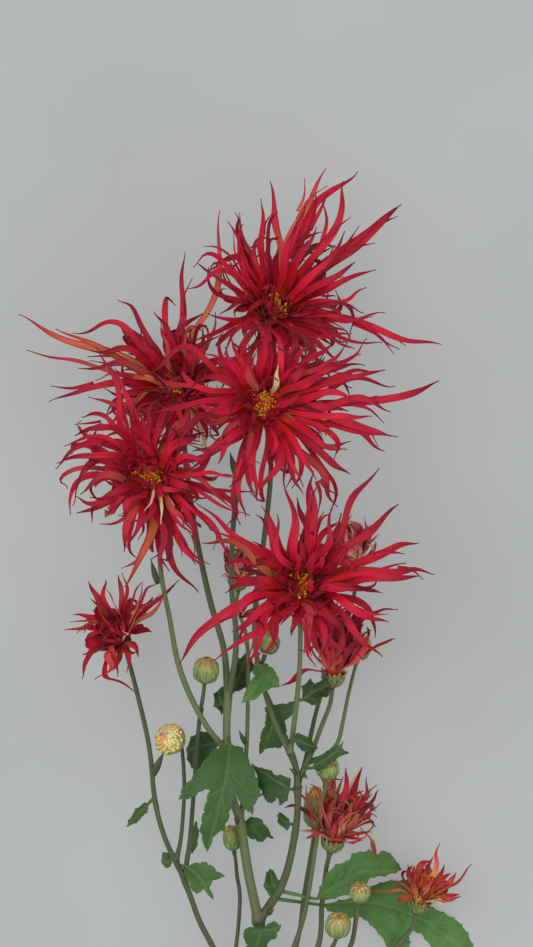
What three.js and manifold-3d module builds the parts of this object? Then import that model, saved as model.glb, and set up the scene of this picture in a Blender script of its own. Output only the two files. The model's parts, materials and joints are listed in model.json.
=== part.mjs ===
// A branched flower stem of a thread-petalled chrysanthemum, cut and laid down on a table.
// The table is the plane z = 0, the stem runs towards +Y and the open blooms look up, towards +Z.
import * as THREE from "three";
import Module from "manifold-3d";

const wasm = await Module();
wasm.setup();

// Places are named as an eye over the table sees them: units across, units down, and a height in mm.
const eyeHeight = 1500;
const mmPerUnit = 0.4167;
const viewMiddle = { across: 266.5, down: 473.5 };

// Driving sizes, in millimetres
const bloomReach = 50; // the length of a long ray floret
const coreRadius = 5.1; // the hidden head that the ray florets grow from
const gap = 0.3; // between pieces that touch in the living flower
const bladeThick = 0.9; // of a leaf
const tipWide = 0.6; // of a floret's tip
const clearOf = 0.45; // air left round a floret that passes another piece
const cutEndWide = 6.4;
const restHeight = (cutEndWide / 2) * Math.cos(Math.PI / 6); // of the six-sided cut end, flat side down
const raySection = 13; // the length of a straight piece of a floret
const stalkSection = 25; // the length of a straight piece of a stalk

const colours = {
  stem: "#64713f",
  leaf: "#4b7346",
  rays: "#a8202c",
  orangeRays: "#c25a2c",
  wiltedRays: "#9a6c52",
  disc: "#d98a1e",
  calyx: "#6d7f4a",
  bud: "#8d9a55",
};

// The stem's branches, from where each leaves its parent to its end, with its width at both ends.
// A place is [across, down, height]; a branch that ends in a flower or a bud is led on to its base.
const branches = {
  cutEnd: { wide: [cutEndWide, cutEndWide], way: [[262, 1130, restHeight], [262, 1096, restHeight]] },
  main: {
    wide: [cutEndWide, 5.4],
    way: [[262, 1100, restHeight], [262, 1040, 4.6], [262, 980, 8.5], [262, 947, 11], [258, 915, 13]],
  },
  leftMain: {
    wide: [5, 3.6],
    way: [[259, 922, 13], [248, 870, 17], [240, 820, 20], [232, 795, 21.5], [227, 740, 25], [228, 690, 28]],
  },
  toUpperLeft: {
    wide: [3.2, 2.4],
    way: [[228, 700, 27], [224, 650, 25], [210, 600, 21], [196, 535, 16], [188, 480, 12], [184, 430, 10]],
    to: "upperLeft",
  },
  toMiddle: {
    wide: [3, 2.4],
    way: [[228, 700, 27], [235, 660, 31], [236, 630, 33], [232, 590, 36], [233, 530, 40], [240, 475, 43]],
    to: "middle",
  },
  toLowerLeft: {
    wide: [3, 2.2],
    way: [[228, 752, 24], [208, 728, 27], [190, 695, 30], [178, 662, 32], [170, 620, 34], [160, 560, 35]],
    to: "lowerLeft",
  },
  rightMain: {
    wide: [4.4, 3],
    way: [[259, 920, 13], [270, 905, 15], [282, 885, 18], [290, 860, 21], [297, 820, 25], [298, 780, 29]],
  },
  rightFork: { wide: [3, 2.8], way: [[298, 788, 28.5], [296, 768, 30], [290, 750, 32]] },
  toFront: {
    wide: [2.8, 2.4],
    way: [[290, 752, 32], [292, 740, 34], [297, 700, 41], [300, 660, 49]],
    to: "front",
  },
  toTop: {
    wide: [2.8, 2.4],
    way: [
      [291, 754, 32], [275, 722, 29], [262, 680, 25], [255, 640, 21], [257, 590, 18],
      [264, 540, 15], [271, 470, 13], [268, 400, 12],
    ],
    to: "top",
  },
  toWiltedRight: {
    wide: [2.6, 1.8],
    way: [[298, 782, 28], [305, 764, 25], [312, 730, 17], [319, 702, 12], [331, 665, 9], [345, 620, 8]],
    to: "wiltedRight",
  },
  toBehindFront: {
    wide: [2.4, 2],
    way: [[301, 776, 28], [312, 752, 26.5], [321, 728, 25]],
    to: "behindFront",
  },
  toSideBud: {
    wide: [2.2, 1.7],
    way: [[305, 763, 25], [322, 757, 22.5], [337, 744, 21], [343, 722, 20], [348, 697, 19]],
    to: "sideBud",
  },
  toWiltedLeft: {
    wide: [2.2, 1.7],
    way: [[241, 824, 20], [246, 760, 18], [248, 700, 19], [247, 640, 22]],
    to: "wiltedLeft",
  },
  toHangingBud: { wide: [1.8, 1.5], way: [[259, 674, 24], [263, 665, 22]], to: "hangingBud" },
  toLeftSmall: {
    wide: [3.2, 2.2],
    way: [
      [262, 1044, 5], [236, 994, 8], [213, 947, 11], [200, 922, 13], [190, 895, 15], [180, 870, 17],
      [165, 838, 19], [155, 800, 21], [148, 740, 23],
    ],
    to: "leftSmall",
  },
  toOpeningBud: {
    wide: [2.2, 1.7],
    way: [[176, 861, 17.5], [181, 838, 21], [184, 800, 25], [184, 775, 27]],
    to: "openingBud",
  },
  toStripedBud: {
    wide: [2.4, 1.8],
    way: [[184, 879, 16], [190, 840, 16], [194, 790, 19], [199, 725, 24]],
    to: "stripedBud",
  },
  toPaleBud: {
    wide: [2.2, 1.7],
    way: [[228, 978, 9], [236, 947, 8], [240, 900, 9], [237, 875, 10]],
    to: "paleBud",
  },
  toRightSmall: {
    wide: [3, 2.2],
    way: [[262, 1046, 5], [292, 1000, 6], [318, 947, 8], [322, 905, 10], [325, 880, 12]],
    to: "rightSmall",
  },
  toRoundBud: {
    wide: [2.6, 1.7],
    way: [[262, 1020, 6.5], [278, 985, 10], [300, 930, 15], [309, 890, 19], [316, 845, 24], [322, 805, 28]],
    to: "roundBud",
  },
  toHalfOpenBud: {
    wide: [2.4, 1.8],
    way: [[264, 1036, 6], [284, 992, 6], [298, 940, 7], [304, 895, 9]],
    to: "halfOpenBud",
  },
  toYellowBud: {
    wide: [2.8, 2],
    way: [[296, 992, 6.2], [330, 970, 10], [350, 947, 16], [356, 920, 22]],
    to: "yellowBud",
  },
  toLowBud: { wide: [2.4, 1.9], way: [[309, 966, 7.3], [328, 952, 13]], to: "lowBud" },
  toLowRight: {
    wide: [2.8, 2],
    way: [[262, 1052, 4.6], [300, 1030, 5], [350, 990, 6], [388, 955, 8], [402, 940, 9]],
    to: "lowRight",
  },
};

// Each flower: where its heart is, how high, where it looks, its size and how many florets are drawn by rule.
// A ray floret chosen by hand has the place of its tip, a place on its way, and its width.
const blooms = {
  top: {
    open: true, heart: [272, 312], height: 30, faces: [0.3, 0.45, 0.84], size: 1, seeded: 10, colour: "rays",
    rays: [
      { tip: [351, 167], by: [318, 215], wide: 4.2, lobes: [[316, 188], [328, 192]] },
      { tip: [326, 168], by: [295, 220], wide: 3, back: true },
      { tip: [401, 206], by: [345, 250], wide: 6, lobes: [[398, 216], [378, 223], [359, 226], [375, 243]] },
      { tip: [350, 184], by: [330, 230], wide: 3.2, lobes: [[351, 217], [322, 200]] },
      { tip: [440, 346], by: [380, 328], wide: 3.4, lobes: [[406, 346], [394, 354]] },
      { tip: [268, 184], by: [283, 235], wide: 3.2 },
      { tip: [263, 198], by: [263, 245], wide: 3 },
      { tip: [238, 213], by: [247, 255], wide: 2.6 },
      { tip: [376, 271], by: [330, 285], wide: 3.8, lobes: [[343, 271]] },
      { tip: [364, 283], by: [335, 300], wide: 3 },
      { tip: [384, 317], by: [340, 314], wide: 3 },
      { tip: [187, 294], by: [226, 276], wide: 2.6 },
      { tip: [352, 330], by: [320, 335], wide: 3 },
      { tip: [347, 232], by: [325, 268], wide: 2.4 },
      { tip: [304, 205], by: [290, 250], wide: 4 },
      { tip: [330, 262], by: [304, 284], wide: 3.4, lift: -29 },
      { tip: [246, 262], by: [258, 284], wide: 3.4, lift: -29 },
      { tip: [300, 360], by: [290, 338], wide: 3.4, lift: -29 },
    ],
  },
  middle: {
    open: true, heart: [262, 405], height: 60, faces: [0.2, 0.05, 0.97], size: 1, seeded: 9, colour: "rays",
    rays: [
      { tip: [440, 381], by: [385, 401], wide: 3.2 },
      { tip: [391, 436], by: [350, 422], wide: 3.2 },
      { tip: [149, 375], by: [195, 353], wide: 2.8 },
      { tip: [331, 510], by: [312, 470], wide: 4 },
      { tip: [334, 515], by: [331, 468], wide: 2.2 },
      { tip: [262, 500], by: [252, 460], wide: 4 },
      { tip: [258, 495], by: [277, 458], wide: 3.2 },
      { tip: [295, 495], by: [292, 458], wide: 3.2 },
      { tip: [348, 477], by: [320, 452], wide: 3.2 },
      { tip: [381, 452], by: [345, 430], wide: 3 },
      { tip: [345, 455], by: [315, 438], wide: 3 },
      { tip: [391, 410], by: [340, 402], wide: 3.4 },
      { tip: [392, 384], by: [345, 388], wide: 2.4 },
      { tip: [372, 363], by: [325, 378], wide: 2.8 },
      { tip: [362, 361], by: [312, 368], wide: 2.4 },
      { tip: [262, 325], by: [262, 362], wide: 3 },
      { tip: [275, 320], by: [282, 362], wide: 3 },
      { tip: [218, 462], by: [234, 438], wide: 3.2 },
      { tip: [205, 410], by: [230, 402], wide: 3.2 },
      { tip: [222, 350], by: [236, 372], wide: 3.4 },
    ],
  },
  upperLeft: {
    open: true, heart: [178, 388], height: 27, faces: [-0.2, 0.25, 0.94], size: 1, seeded: 12, colour: "rays",
    rays: [
      { tip: [17, 321], by: [88, 343], wide: 3.4 },
      { tip: [57, 326], by: [108, 354], wide: 3 },
      { tip: [74, 335], by: [118, 330], wide: 2.6 },
      { tip: [52, 408], by: [105, 380], wide: 3.2, lobes: [[50, 386]] },
      { tip: [181, 252], by: [181, 318], wide: 3 },
      { tip: [222, 211], by: [206, 310], wide: 3, back: true },
      { tip: [161, 309], by: [174, 346], wide: 3.2 },
      { tip: [79, 373], by: [125, 366], wide: 3 },
      { tip: [133, 333], by: [152, 360], wide: 3 },
      { tip: [211, 345], by: [198, 360], wide: 3 },
      { tip: [92, 358], by: [130, 352], wide: 3 },
      { tip: [158, 322], by: [165, 352], wide: 2.6 },
      { tip: [122, 420], by: [148, 404], wide: 3.4, lift: -26 },
      { tip: [140, 330], by: [158, 356], wide: 3.4, lift: -26 },
      { tip: [205, 440], by: [194, 414], wide: 3.4, lift: -26 },
    ],
  },
  lowerLeft: {
    open: true, heart: [152, 475], height: 51, faces: [-0.2, -0.05, 0.97], size: 1, seeded: 8,
    colour: "rays",
    rays: [
      { tip: [97, 348], by: [120, 410], wide: 3 },
      { tip: [124, 587], by: [151, 540], wide: 5 },
      { tip: [52, 463], by: [98, 436], wide: 3.8 },
      { tip: [191, 594], by: [169, 545], wide: 3 },
      { tip: [203, 572], by: [178, 535], wide: 3 },
      { tip: [115, 363], by: [134, 412], wide: 2.8 },
      { tip: [72, 433], by: [108, 424], wide: 3 },
      { tip: [55, 462], by: [102, 450], wide: 3 },
      { tip: [69, 488], by: [104, 464], wide: 3 },
      { tip: [80, 493], by: [112, 478], wide: 4.4 },
      { tip: [104, 500], by: [122, 488], wide: 4 },
      { tip: [125, 520], by: [134, 500], wide: 3.8 },
      { tip: [134, 547], by: [139, 515], wide: 3.8 },
      { tip: [158, 573], by: [158, 530], wide: 3 },
      { tip: [143, 532], by: [148, 508], wide: 3.4 },
      { tip: [188, 526], by: [174, 505], wide: 3.2 },
      { tip: [194, 489], by: [180, 484], wide: 3.2 },
      { tip: [233, 505], by: [198, 482], wide: 3 },
      { tip: [229, 563], by: [204, 517], wide: 2.4 },
      { tip: [147, 412], by: [146, 438], wide: 3 },
      { tip: [80, 412], by: [112, 420], wide: 2.6 },
      { tip: [213, 455], by: [185, 462], wide: 3 },
    ],
  },
  front: {
    open: true, heart: [303, 588], height: 69, faces: [0.04, 0.35, 0.93], size: 1, seeded: 7, colour: "rays",
    rays: [
      { tip: [175, 661], by: [224, 608], wide: 4.6 },
      { tip: [434, 568], by: [385, 567], wide: 3.4 },
      { tip: [420, 581], by: [366, 578], wide: 5.4 },
      { tip: [417, 536], by: [375, 556], wide: 4, lobes: [[405, 554]] },
      { tip: [400, 506], by: [358, 535], wide: 3.8 },
      { tip: [382, 471], by: [346, 518], wide: 3 },
      { tip: [308, 470], by: [305, 522], wide: 4.4 },
      { tip: [287, 483], by: [290, 534], wide: 3.4 },
      { tip: [333, 508], by: [321, 545], wide: 3.2 },
      { tip: [262, 505], by: [278, 545], wide: 3 },
      { tip: [201, 499], by: [245, 540], wide: 3 },
      { tip: [203, 539], by: [250, 555], wide: 4.6 },
      { tip: [222, 590], by: [255, 580], wide: 4 },
      { tip: [254, 670], by: [262, 620], wide: 3.4 },
      { tip: [237, 638], by: [266, 608], wide: 4 },
      { tip: [224, 628], by: [258, 598], wide: 4 },
      { tip: [273, 631], by: [286, 612], wide: 3.4 },
      { tip: [292, 636], by: [295, 616], wide: 3.4 },
      { tip: [324, 658], by: [322, 625], wide: 3 },
      { tip: [345, 633], by: [326, 613], wide: 4 },
      { tip: [376, 661], by: [348, 620], wide: 3.4 },
      { tip: [386, 627], by: [346, 603], wide: 3.8, lobes: [[388, 614]] },
      { tip: [361, 586], by: [334, 588], wide: 4 },
      { tip: [295, 500], by: [298, 548], wide: 3.8 },
      { tip: [275, 515], by: [286, 556], wide: 3 },
    ],
  },
  leftSmall: {
    open: true, heart: [118, 638], height: 24, faces: [-0.25, 0.6, 0.75], size: 0.8, seeded: 2,
    colour: "rays",
    rays: [
      { tip: [65, 632], by: [92, 622], wide: 3 },
      { tip: [87, 582], by: [100, 604], wide: 3.6 },
      { tip: [106, 577], by: [108, 602], wide: 3.2 },
      { tip: [129, 574], by: [124, 600], wide: 2.4 },
      { tip: [154, 580], by: [140, 600], wide: 2.6 },
      { tip: [181, 582], by: [152, 604], wide: 2.4 },
      { tip: [169, 591], by: [146, 616], wide: 2.8 },
      { tip: [73, 614], by: [94, 616], wide: 2.6 },
      { tip: [82, 641], by: [98, 632], wide: 2.6 },
      { tip: [79, 677], by: [92, 650], wide: 2.6 },
      { tip: [138, 692], by: [104, 674], wide: 2.2 },
      { tip: [104, 682], by: [110, 660], wide: 3.2 },
      { tip: [90, 600], by: [104, 616], wide: 3 },
    ],
  },
  behindFront: {
    heart: [334, 670], height: 27, faces: [0.1, 0.95, 0.25], size: 0.8, seeded: 2, colour: "rays",
    rays: [
      { tip: [313, 618], by: [318, 646], wide: 4 },
      { tip: [324, 606], by: [327, 640], wide: 4 },
      { tip: [340, 602], by: [337, 640], wide: 4 },
      { tip: [358, 605], by: [348, 640], wide: 4 },
      { tip: [396, 605], by: [366, 615], wide: 2.4 },
      { tip: [366, 627], by: [354, 646], wide: 3.6 },
      { tip: [316, 636], by: [320, 656], wide: 4 },
      { tip: [352, 660], by: [345, 660], wide: 3.4 },
    ],
  },
  rightSmall: {
    heart: [334, 836], height: 22, faces: [0.2, 0.9, 0.35], size: 0.8, seeded: 2, colour: "rays",
    rays: [
      { tip: [339, 763], by: [335, 798], wide: 3.4 },
      { tip: [348, 768], by: [343, 798], wide: 3.4 },
      { tip: [361, 768], by: [350, 800], wide: 3.2 },
      { tip: [372, 780], by: [357, 805], wide: 3 },
      { tip: [384, 797], by: [362, 812], wide: 2.8 },
      { tip: [382, 804], by: [358, 822], wide: 2.6 },
      { tip: [372, 833], by: [354, 832], wide: 3 },
      { tip: [324, 785], by: [326, 812], wide: 3.6 },
      { tip: [328, 773], by: [330, 808], wide: 3.4 },
    ],
  },
  lowRight: {
    open: true, heart: [421, 898], height: 14, faces: [0.25, 0.9, 0.3], size: 0.75, seeded: 2,
    colour: "orangeRays",
    rays: [
      { tip: [406, 864], by: [413, 882], wide: 2.8 },
      { tip: [431, 856], by: [426, 878], wide: 3 },
      { tip: [434, 843], by: [433, 870], wide: 2.2 },
      { tip: [474, 866], by: [449, 884], wide: 2.8 },
      { tip: [448, 902], by: [438, 896], wide: 2.6 },
      { tip: [418, 860], by: [419, 880], wide: 3 },
      { tip: [447, 868], by: [436, 882], wide: 2.8 },
    ],
  },
  wiltedRight: {
    heart: [353, 560], height: 12, faces: [-0.05, 0.95, 0.25], size: 0.75, seeded: 0, reach: 14,
    colour: "wiltedRays",
    rays: [
      { tip: [338, 524], by: [344, 540], wide: 2.6 },
      { tip: [347, 518], by: [350, 538], wide: 2.4 },
      { tip: [370, 526], by: [360, 540], wide: 2.4 },
      { tip: [358, 522], by: [356, 540], wide: 2.6 },
      { tip: [334, 540], by: [342, 548], wide: 2.4 },
    ],
  },
  wiltedLeft: {
    heart: [239, 574], height: 22, faces: [0.05, 0.95, 0.2], size: 0.75, seeded: 0, reach: 12,
    colour: "wiltedRays",
    rays: [
      { tip: [228, 552], by: [231, 562], wide: 2.8 },
      { tip: [240, 546], by: [240, 560], wide: 2.8 },
      { tip: [252, 552], by: [248, 563], wide: 2.8 },
      { tip: [221, 578], by: [228, 572], wide: 1.8 },
    ],
  },
};

// Each bud: its middle, its height, where it looks, how wide and how tall it is.
const buds = {
  stripedBud: { at: [206, 670], height: 30, faces: [0.1, 0.9, 0.3], wide: 10.4, tall: 11 },
  openingBud: { at: [170, 739], height: 33, faces: [-0.45, 0.35, 0.8], wide: 12.4, tall: 9.6 },
  hangingBud: { at: [269, 643], height: 20, faces: [0.3, 0.9, -0.1], wide: 8.6, tall: 9.4 },
  paleBud: { at: [232, 838], height: 13, faces: [-0.15, 0.95, 0.1], wide: 7.4, tall: 10.6 },
  roundBud: { at: [328, 768], height: 34, faces: [0.1, 0.9, 0.4], wide: 9, tall: 9.4 },
  sideBud: { at: [362, 648], height: 16, faces: [0.3, 0.9, 0], wide: 7.2, tall: 10 },
  yellowBud: { at: [360, 892], height: 30, faces: [0.1, 0.75, 0.65], wide: 8.4, tall: 8.4 },
  lowBud: { at: [338, 925], height: 25, faces: [0.1, 0.75, 0.65], wide: 10.4, tall: 10.6 },
  halfOpenBud: { at: [315, 808], height: 12, faces: [0.05, 0.97, 0.15], wide: 9.4, tall: 17 },
};

// Each leaf: where its stalk leaves the stem, the middle rib and the two edges from its foot to its tip,
// the height of its foot and tip, how much it bows up between them and how far its sides turn up.
const leaves = {
  bigMiddle: {
    from: [228, 736, 26], heights: [31, 30], bow: 6, fold: 0.12,
    rib: [[230, 744], [226, 775], [217, 815], [207, 853]],
    left: [
      [214, 749], [203, 762], [190, 780], [182, 788], [179, 800], [192, 798], [202, 791], [209, 789],
      [206, 802], [202, 817], [200, 832],
    ],
    right: [
      [243, 748], [250, 762], [257, 777], [259, 788], [262, 795], [256, 801], [252, 815], [243, 806],
      [236, 796], [232, 803], [229, 817], [224, 830], [216, 834],
    ],
  },
  darkShoulder: {
    from: [228, 738, 25], heights: [22, 14], bow: 2, fold: 0.2,
    rib: [[222, 742], [205, 745], [186, 750]],
    left: [[214, 751], [206, 763], [195, 771], [188, 762]],
    right: [[214, 733], [201, 731], [191, 737]],
  },
  lightFolded: {
    from: [260, 670, 24], heights: [30, 37], bow: 4, fold: 0.3,
    rib: [[258, 664], [261, 677], [251, 692], [241, 703]],
    left: [[252, 668], [254, 676], [247, 688]],
    right: [[268, 664], [277, 674], [280, 686], [267, 690], [254, 700]],
  },
  darkUnder: {
    from: [229, 704, 27], heights: [24, 18], bow: 3, fold: 0.2,
    rib: [[228, 709], [221, 703], [219, 692], [222, 686]],
    left: [[222, 714], [214, 706], [214, 694]],
    right: [[231, 703], [231, 692]],
  },
  broadUpright: {
    from: [267, 695, 26.5], heights: [23, 17], bow: 2, fold: 0.15,
    rib: [[272, 705], [273, 720], [268, 738], [259, 755]],
    left: [[265, 707], [266, 719], [260, 738]],
    right: [[281, 704], [297, 701], [294, 712], [285, 722], [288, 738], [280, 748], [268, 748]],
  },
  darkBehind: {
    from: [229, 695, 27.5], heights: [16, 12], bow: 2, fold: 0.15,
    rib: [[233, 692], [239, 676], [247, 652]],
    left: [[232, 684], [227, 676], [234, 668], [233, 656], [240, 658]],
    right: [[242, 690], [251, 684], [249, 674], [256, 668], [252, 660]],
  },
  rightDark: {
    from: [297, 700, 41], heights: [37, 30], bow: 3, fold: 0.25,
    rib: [[302, 700], [314, 692], [331, 684]],
    left: [[302, 687], [310, 679], [316, 684], [325, 677]],
    right: [[309, 704], [318, 706], [321, 698], [329, 696]],
  },
  smallAtFork: {
    from: [291, 742, 36], heights: [38, 34], bow: 2, fold: 0.3,
    rib: [[294, 739], [304, 743], [318, 748]],
    left: [[296, 733], [305, 735], [313, 741]],
    right: [[297, 747], [305, 752], [313, 754]],
  },
  lobedMiddle: {
    from: [297, 790, 28], heights: [25, 19], bow: 3, fold: 0.15,
    rib: [[290, 789], [279, 783], [266, 774], [251, 763]],
    left: [
      [288, 799], [281, 806], [277, 798], [272, 804], [264, 799], [262, 791], [256, 787], [258, 778],
    ],
    right: [[291, 780], [283, 775], [276, 775], [268, 769], [260, 768]],
  },
  twoPointed: {
    from: [304, 768, 27], heights: [34, 40], bow: 2, fold: 0.2,
    rib: [[312, 768], [322, 761], [334, 753], [344, 741]],
    left: [[315, 761], [323, 755], [331, 748], [338, 746]],
    right: [[319, 772], [328, 766], [337, 759], [349, 752], [342, 749]],
  },
  lowForked: {
    from: [240, 820, 20], heights: [14, 8], bow: 3, fold: 0.15,
    rib: [[245, 822], [254, 828], [263, 842]],
    left: [[244, 831], [250, 838], [257, 841]],
    right: [[252, 816], [262, 820], [268, 829], [274, 838], [266, 838]],
  },
  leftForked: {
    from: [181, 866, 17], heights: [22, 24], bow: 3, fold: 0.15,
    rib: [[186, 866], [197, 875], [206, 888], [214, 901]],
    left: [[184, 872], [189, 884], [195, 894], [204, 890]],
    right: [[196, 863], [206, 862], [214, 868], [225, 877], [214, 880], [210, 886]],
  },
  leftCluster: {
    from: [175, 858, 18], heights: [14, 8], bow: 1, fold: 0.2,
    rib: [[172, 858], [168, 862], [161, 862]],
    left: [[172, 864], [166, 869]],
    right: [[168, 852], [162, 853]],
  },
  uprightBlade: {
    from: [188, 852, 16], heights: [10, 8], bow: 1, fold: 0.3,
    rib: [[192, 852], [194, 838], [197, 820]],
    left: [[188, 844], [190, 832]],
    right: [[196, 849], [199, 836]],
  },
  farLeft: {
    from: [154, 798, 21], heights: [17, 12], bow: 2, fold: 0.25,
    rib: [[149, 803], [139, 813], [126, 827]],
    left: [[148, 810], [140, 820], [132, 825]],
    right: [[143, 803], [135, 810], [129, 820]],
  },
  belowMiddle: {
    from: [259, 924, 13], heights: [12, 6], bow: 2, fold: 0.15,
    rib: [[261, 930], [258, 942], [250, 962]],
    left: [[252, 926], [243, 931], [246, 945], [243, 955]],
    right: [[272, 921], [281, 925], [276, 938], [267, 943], [262, 958]],
  },
  narrowLow: {
    from: [281, 888, 18], heights: [12, 6], bow: 2, fold: 0.2,
    rib: [[277, 893], [272, 883], [270, 868]],
    left: [[270, 896], [264, 888], [265, 876]],
    right: [[279, 884], [276, 874]],
  },
  smallRight: {
    from: [296, 826, 24], heights: [20, 15], bow: 1, fold: 0.2,
    rib: [[291, 824], [284, 822], [277, 815]],
    left: [[288, 830], [279, 825]],
    right: [[288, 818], [281, 812]],
  },
  hugeUpper: {
    from: [280, 891, 17], heights: [13, 10], bow: 6, fold: 0.1,
    rib: [[316, 899], [334, 886], [362, 873], [402, 870]],
    left: [
      [320, 887], [327, 873], [337, 864], [348, 861], [353, 853], [362, 852], [371, 850], [375, 856],
      [384, 850], [393, 856],
    ],
    right: [[328, 900], [346, 895], [362, 889], [371, 878], [386, 876]],
  },
  hugeLower: {
    from: [276, 899, 16], heights: [13, 4], bow: 8, fold: 0.08,
    rib: [[322, 905], [360, 902], [405, 912], [445, 935], [478, 968]],
    left: [
      [346, 899], [366, 893], [372, 886], [387, 881], [403, 880], [414, 878], [424, 886], [434, 899],
      [430, 906], [444, 913], [458, 921], [467, 932], [474, 948],
    ],
    right: [
      [330, 912], [346, 919], [360, 917], [368, 922], [380, 935], [392, 953], [404, 962], [410, 948],
      [409, 930], [421, 934], [432, 948], [440, 963], [456, 967],
    ],
  },
};

// Heights along a flower's axis from its heart: top of the head, its waist, its hem and the foot of its cup
const headSizes = { crown: 2.8, waist: 1.2, hem: -2.2, cupFoot: -9.5 };

function seen([across, down], height) {
  const scale = mmPerUnit * (1 - height / eyeHeight);
  return new THREE.Vector3((across - viewMiddle.across) * scale, (viewMiddle.down - down) * scale, height);
}

// Numbers between 0 and 1, the same for the same seed
function seededNumbers(seed) {
  let state = seed >>> 0;
  const step = 0x6d2b79f5;
  return () => {
    state = (state + step) >>> 0;
    let mixed = Math.imul(state ^ (state >>> 15), state | 1);
    mixed ^= mixed + Math.imul(mixed ^ (mixed >>> 7), mixed | 61);
    return ((mixed ^ (mixed >>> 14)) >>> 0) / 2 ** 32;
  };
}

function smoothWay(points) {
  return new THREE.CatmullRomCurve3(points, false, "catmullrom", 0.5);
}

function solidOf(places, faces) {
  return new wasm.Manifold(
    new wasm.Mesh({ numProp: 3, vertProperties: new Float32Array(places), triVerts: new Uint32Array(faces) }),
  );
}

// A closed solid through rings of points, each ring turning the same way about the direction of travel
function loft(rings) {
  const sides = rings[0].length;
  const faces = [];
  for (let ring = 0; ring + 1 < rings.length; ring++) {
    for (let side = 0; side < sides; side++) {
      const here = ring * sides + side;
      const next = ring * sides + ((side + 1) % sides);
      faces.push(here, next, next + sides, here, next + sides, here + sides);
    }
  }
  const last = (rings.length - 1) * sides;
  for (let side = 1; side + 1 < sides; side++) {
    faces.push(0, side + 1, side, last, last + side, last + side + 1);
  }
  return solidOf(rings.flat().flatMap((point) => point.toArray()), faces);
}

function joined(solids) {
  return wasm.Manifold.union(solids);
}

// A cut can leave crumbs: the piece itself is the largest body
function largestBody(solid) {
  const bodies = solid.decompose();
  return bodies.reduce((best, body) => (body.volume() > best.volume() ? body : best));
}

// The directions across a flower: side and front are square to where it looks
function flowerFrame(faces) {
  const axis = new THREE.Vector3(...faces).normalize();
  const side = new THREE.Vector3(0, 1, 0).cross(axis).normalize();
  const front = axis.clone().cross(side);
  return { axis, side, front };
}

function fromAxis(origin, frame, radius, turn, along) {
  return origin
    .clone()
    .addScaledVector(frame.side, radius * Math.cos(turn))
    .addScaledVector(frame.front, radius * Math.sin(turn))
    .addScaledVector(frame.axis, along);
}

// A turned shape about a flower's axis, with every other point of a ring drawn in and lowered by the ribs
function turned(origin, frame, profile, points, rib = 0, notch = 0) {
  const rings = profile.map(([radius, along, notched = 0]) =>
    Array.from({ length: points }, (_, k) => {
      const between = k % 2;
      const turn = (k / points) * 2 * Math.PI;
      return fromAxis(origin, frame, radius * (1 - rib * between), turn, along - notch * notched * between);
    }),
  );
  return loft(rings);
}

// What already fills the air, as small balls sorted into cells
const cellSize = 8;
const ballSpacing = 1.6;
const cells = new Map();

function cellOf(point, step) {
  return [point.x, point.y, point.z].map((value, k) => Math.floor(value / cellSize) + step[k]).join();
}

function fill(points, radius, owner) {
  for (const point of points) {
    const cell = cellOf(point, [0, 0, 0]);
    if (!cells.has(cell)) cells.set(cell, []);
    cells.get(cell).push({ point, radius, owner });
  }
}

const cellSteps = [-1, 0, 1].flatMap((x) => [-1, 0, 1].flatMap((y) => [-1, 0, 1].map((z) => [x, y, z])));

function isFree(points, radius, owner) {
  return points.every((point) =>
    cellSteps.every((step) =>
      (cells.get(cellOf(point, step)) ?? []).every(
        (ball) => ball.owner === owner || ball.point.distanceTo(point) > ball.radius + radius + clearOf,
      ),
    ),
  );
}

function spaced(curve, spacing, from = 0) {
  const count = Math.max(2, Math.ceil(curve.getLength() / spacing));
  return Array.from({ length: count + 1 }, (_, k) => curve.getPoint(from + ((1 - from) * k) / count));
}

// A round stalk of any number of sides, thinner towards its end; its first flat side looks down
function stalk(curve, widths, sides, extra = 0) {
  const sections = Math.max(1, Math.round(curve.getLength() / stalkSection));
  let up = new THREE.Vector3(0, 0, 1);
  const rings = [];
  for (let k = 0; k <= sections; k++) {
    const t = k / sections;
    const travel = curve.getTangent(t);
    const middle = curve.getPoint(t).addScaledVector(travel, k === 0 ? -extra : k === sections ? extra : 0);
    up = up.clone().addScaledVector(travel, -up.dot(travel)).normalize();
    const across = up.clone().cross(travel);
    const radius = (widths[0] + (widths[1] - widths[0]) * t) / 2 + extra;
    rings.push(
      Array.from({ length: sides }, (_, side) => {
        const turn = (side / sides) * 2 * Math.PI + (sides % 2 ? Math.PI / 2 : 0);
        return middle
          .clone()
          .addScaledVector(across, radius * Math.cos(turn))
          .addScaledVector(up, radius * Math.sin(turn));
      }),
    );
  }
  return loft(rings);
}

function headOf(name) {
  const { heart, height, faces, size } = blooms[name];
  return { origin: seen(heart, height), frame: flowerFrame(faces), size };
}

// Where a branch meets the foot of its flower or bud, and a place below it that sets the direction
function branchEnd(name) {
  if (name in blooms) {
    const { origin, frame, size } = headOf(name);
    const foot = (-headSizes.cupFoot + gap) * size;
    const straight = 7;
    return [foot + straight, foot].map((down) => origin.clone().addScaledVector(frame.axis, -down));
  }
  const { at, height, faces, tall } = buds[name];
  const { axis } = flowerFrame(faces);
  const straight = 5;
  return [tall / 2 + straight, tall / 2 + gap].map((down) => seen(at, height).addScaledVector(axis, -down));
}

function branchCurve({ way, to }) {
  const points = way.map(([across, down, height]) => seen([across, down], height));
  return smoothWay(to ? [...points, ...branchEnd(to)] : points);
}

function wholeStem(extra) {
  const mainSides = 6;
  const branchSides = 5;
  return joined(
    Object.entries(branches).map(([name, branch]) =>
      stalk(branchCurve(branch), branch.wide, name === "main" ? mainSides : branchSides, extra),
    ),
  );
}

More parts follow.
